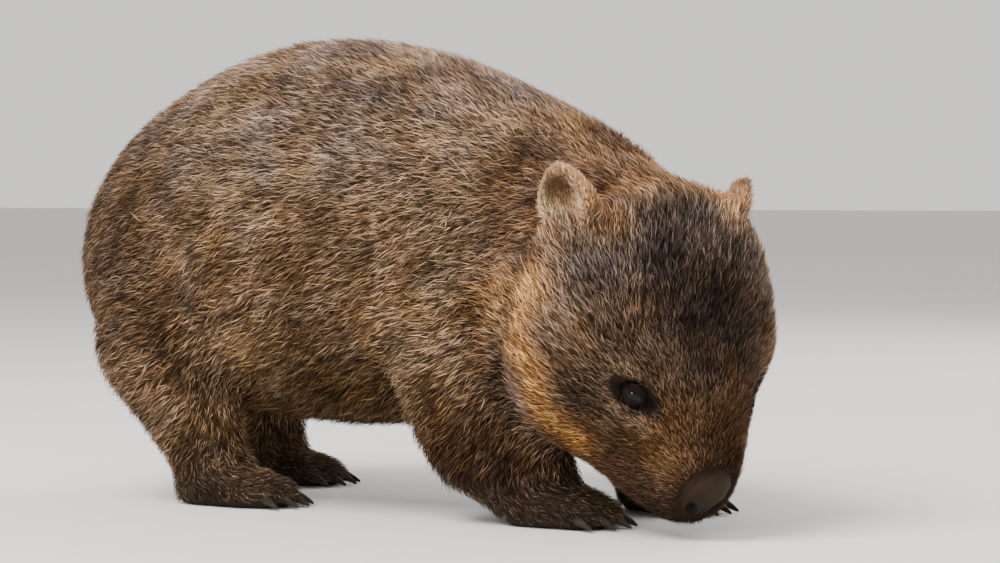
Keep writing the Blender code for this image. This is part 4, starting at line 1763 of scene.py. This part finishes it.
@dataclass
class Whiskers:
    """Long stiff hairs on the muzzle, brows and cheeks."""

    head: HeadFrame
    skin: Skin
    rows: int = 5
    columns: int = 4
    radius: float = 0.00017
    pale: Colour = (0.11, 0.08, 0.055)

    def build(self) -> None:
        """Plants the whiskers on both sides and joins them."""
        self.random = np.random.default_rng(SEED + 1)
        self.body, self.tones = bmesh.new(), []
        jitter = self.random.standard_normal
        for side in SIDES.values():
            for row in range(self.rows):
                for place in range(self.columns):
                    x = 0.058 - 0.0085 * place + 0.0015 * jitter()
                    z = -0.030 - 0.0070 * row + 0.0012 * jitter()
                    self._grow(side, x, z, 0.026 + 0.0045 * place)
            for x, z, length in ((-0.012, 0.024, 0.026), (-0.022, 0.020, 0.026), (-0.040, -0.062, 0.034)):
                for _ in range(2):
                    self._grow(side, x + 0.004 * jitter(), z + 0.003 * jitter(), length)
        bmesh.ops.recalc_face_normals(self.body, faces=self.body.faces)
        made = mesh_object("whiskers", self.body)
        paint(made.data, np.array(self.tones))
        made.data.materials.append(WhiskerFinish().material())
        settle(made, "coat")

    def _grow(self, side: int, x: float, z: float, length: float) -> None:
        """Grows one whisker out of the side of the face, curving back.

        Args:
            side: 1 on the left and -1 on the right.
            x: Its root, in the head's frame.
            z: Likewise.
            length: How long it is, before a random change.
        """
        to_body = self.head.matrix()
        turn = to_body.to_3x3()
        start = to_body @ Vector((x, 0.12 * side, z))
        hit = self.skin.lid_tree.ray_cast(start, turn @ Vector((0, -side, 0)))
        if hit[0] is None:
            return
        lean = 0.20 * self.random.standard_normal(2)
        way = turn @ Vector((-0.35 + lean[0], 0.75 * side, -0.18 + lean[1]))
        back = turn @ Vector((-0.9, 0.0, 0.1))
        length *= 0.7 + 0.6 * self.random.random()
        strength = 0.25 + 0.75 * self.random.random()
        across = way.orthogonal().normalized()
        over = way.cross(across).normalized()
        for vert in self._spike():
            t = vert.co.z
            spot = hit[0] + way * (length * t - 0.001) + back * (length * 0.5 * t * t)
            ring = vert.co.xy * self.radius * (1 - 0.85 * t)
            vert.co = spot + across * ring.x + over * ring.y
            self.tones.append(Vector(self.pale) * strength * (0.25 + 0.75 * t))

    def _spike(self) -> list[bmesh.types.BMVert]:
        """Adds a fine straight column of unit size with rings to bend at."""
        spike = bmesh.new()
        bmesh.ops.create_cone(spike, cap_ends=True, segments=5, radius1=1, radius2=1, depth=1)
        bmesh.ops.translate(spike, verts=spike.verts, vec=(0, 0, 0.5))
        walls = [edge for edge in spike.edges if abs(edge.verts[0].co.z - edge.verts[1].co.z) > 0.5]
        bmesh.ops.subdivide_edges(spike, edges=walls, cuts=7)
        mesh = bpy.data.meshes.new("spike")
        spike.to_mesh(mesh)
        spike.free()
        first = len(self.body.verts)
        self.body.from_mesh(mesh)
        bpy.data.meshes.remove(mesh)
        self.body.verts.ensure_lookup_table()
        return self.body.verts[first:]


# The studio


@dataclass
class Studio:
    """The floor, the light and the camera."""

    head: HeadFrame
    azimuth: float = 32.0
    distance: float = 2.25
    height: float = 0.244
    lens: float = 104.4
    tilt: float = 1.708
    eyes_at: tuple[float, float] = (0.21692, -0.09087)  # where the middle of the eyes is meant to be

    def build(self) -> None:
        """Sets the studio up."""
        self._floor()
        self._lights()
        self._camera()

    def _floor(self) -> None:
        """A wide plain floor."""
        body = bmesh.new()
        bmesh.ops.create_grid(body, x_segments=8, y_segments=8, size=40)
        floor = mesh_object("floor", body)
        floor.data.materials.append(FloorFinish().material())

    def _lights(self) -> None:
        """A pale sky, a broad key and a fill without glare, a rim light and a small one for the eyes."""
        world = bpy.data.worlds.new("studio")
        bpy.context.scene.world = world
        world.use_nodes = True
        background = world.node_tree.nodes["Background"]
        background.inputs["Color"].default_value = (1.0, 0.985, 0.96, 1)
        background.inputs["Strength"].default_value = 1.0
        self._lamp("key", (-0.6, -1.8, 2.6), 1.7, 203).visible_glossy = False
        self._lamp("fill", (2.3, -2.5, 1.3), 2.2, 52).visible_glossy = False
        self._lamp("rim", (0.3, 2.5, 2.1), 1.6, 70)
        self._lamp("catch", (0.35, -2.06, 0.52), 0.30, 16)

    def _lamp(self, name: str, place: Spot, size: float, power: float) -> bpy.types.Object:
        """One square soft lamp that looks at the animal.

        Args:
            name: Its name.
            place: Where it hangs.
            size: The length of its side.
            power: Its power in watts.

        Returns:
            The lamp.
        """
        data = bpy.data.lights.new(name, "AREA")
        data.size = size
        data.energy = power
        lamp = bpy.data.objects.new(name, data)
        lamp.location = place
        lamp.rotation_euler = (Vector((0, 0, 0.18)) - Vector(place)).to_track_quat("-Z", "Y").to_euler()
        bpy.context.scene.collection.objects.link(lamp)
        return lamp

    def _camera(self) -> None:
        """The camera, placed from where the head stands."""
        eyes = (box_centre("eye_right") + box_centre("eye_left")) / 2
        shift = Vector((eyes.x - self.eyes_at[0], eyes.y - self.eyes_at[1], 0))
        turn = math.radians(self.azimuth)
        data = bpy.data.cameras.new("camera")
        data.lens = self.lens
        data.sensor_width = 36
        camera = bpy.data.objects.new("camera", data)
        level = Vector((math.sin(turn), -math.cos(turn), 0)) * self.distance
        camera.location = shift + level + Vector((0, 0, self.height))
        camera.rotation_euler = (math.radians(90 - self.tilt), 0, turn)
        bpy.context.scene.collection.objects.link(camera)
        bpy.context.scene.camera = camera


def main() -> None:
    """Builds the skin, the coat and the small parts, then the studio."""
    logging.basicConfig(level=logging.INFO, format="%(relativeCreated)d %(message)s")
    noise.seed_set(SEED)  # without a seed, noise vectors differ from run to run
    head = HeadFrame()
    markings = Markings(head)
    skin = Skin(head, markings)
    skin.build()
    Coat(skin, head, markings).build()
    for side in SIDES:
        Eye(EyeFrame(side, head), skin).build()
    Nose(head).build()
    Claws().build()
    Whiskers(head, skin).build()
    Studio(head).build()


if __name__ == "__main__":
    main()
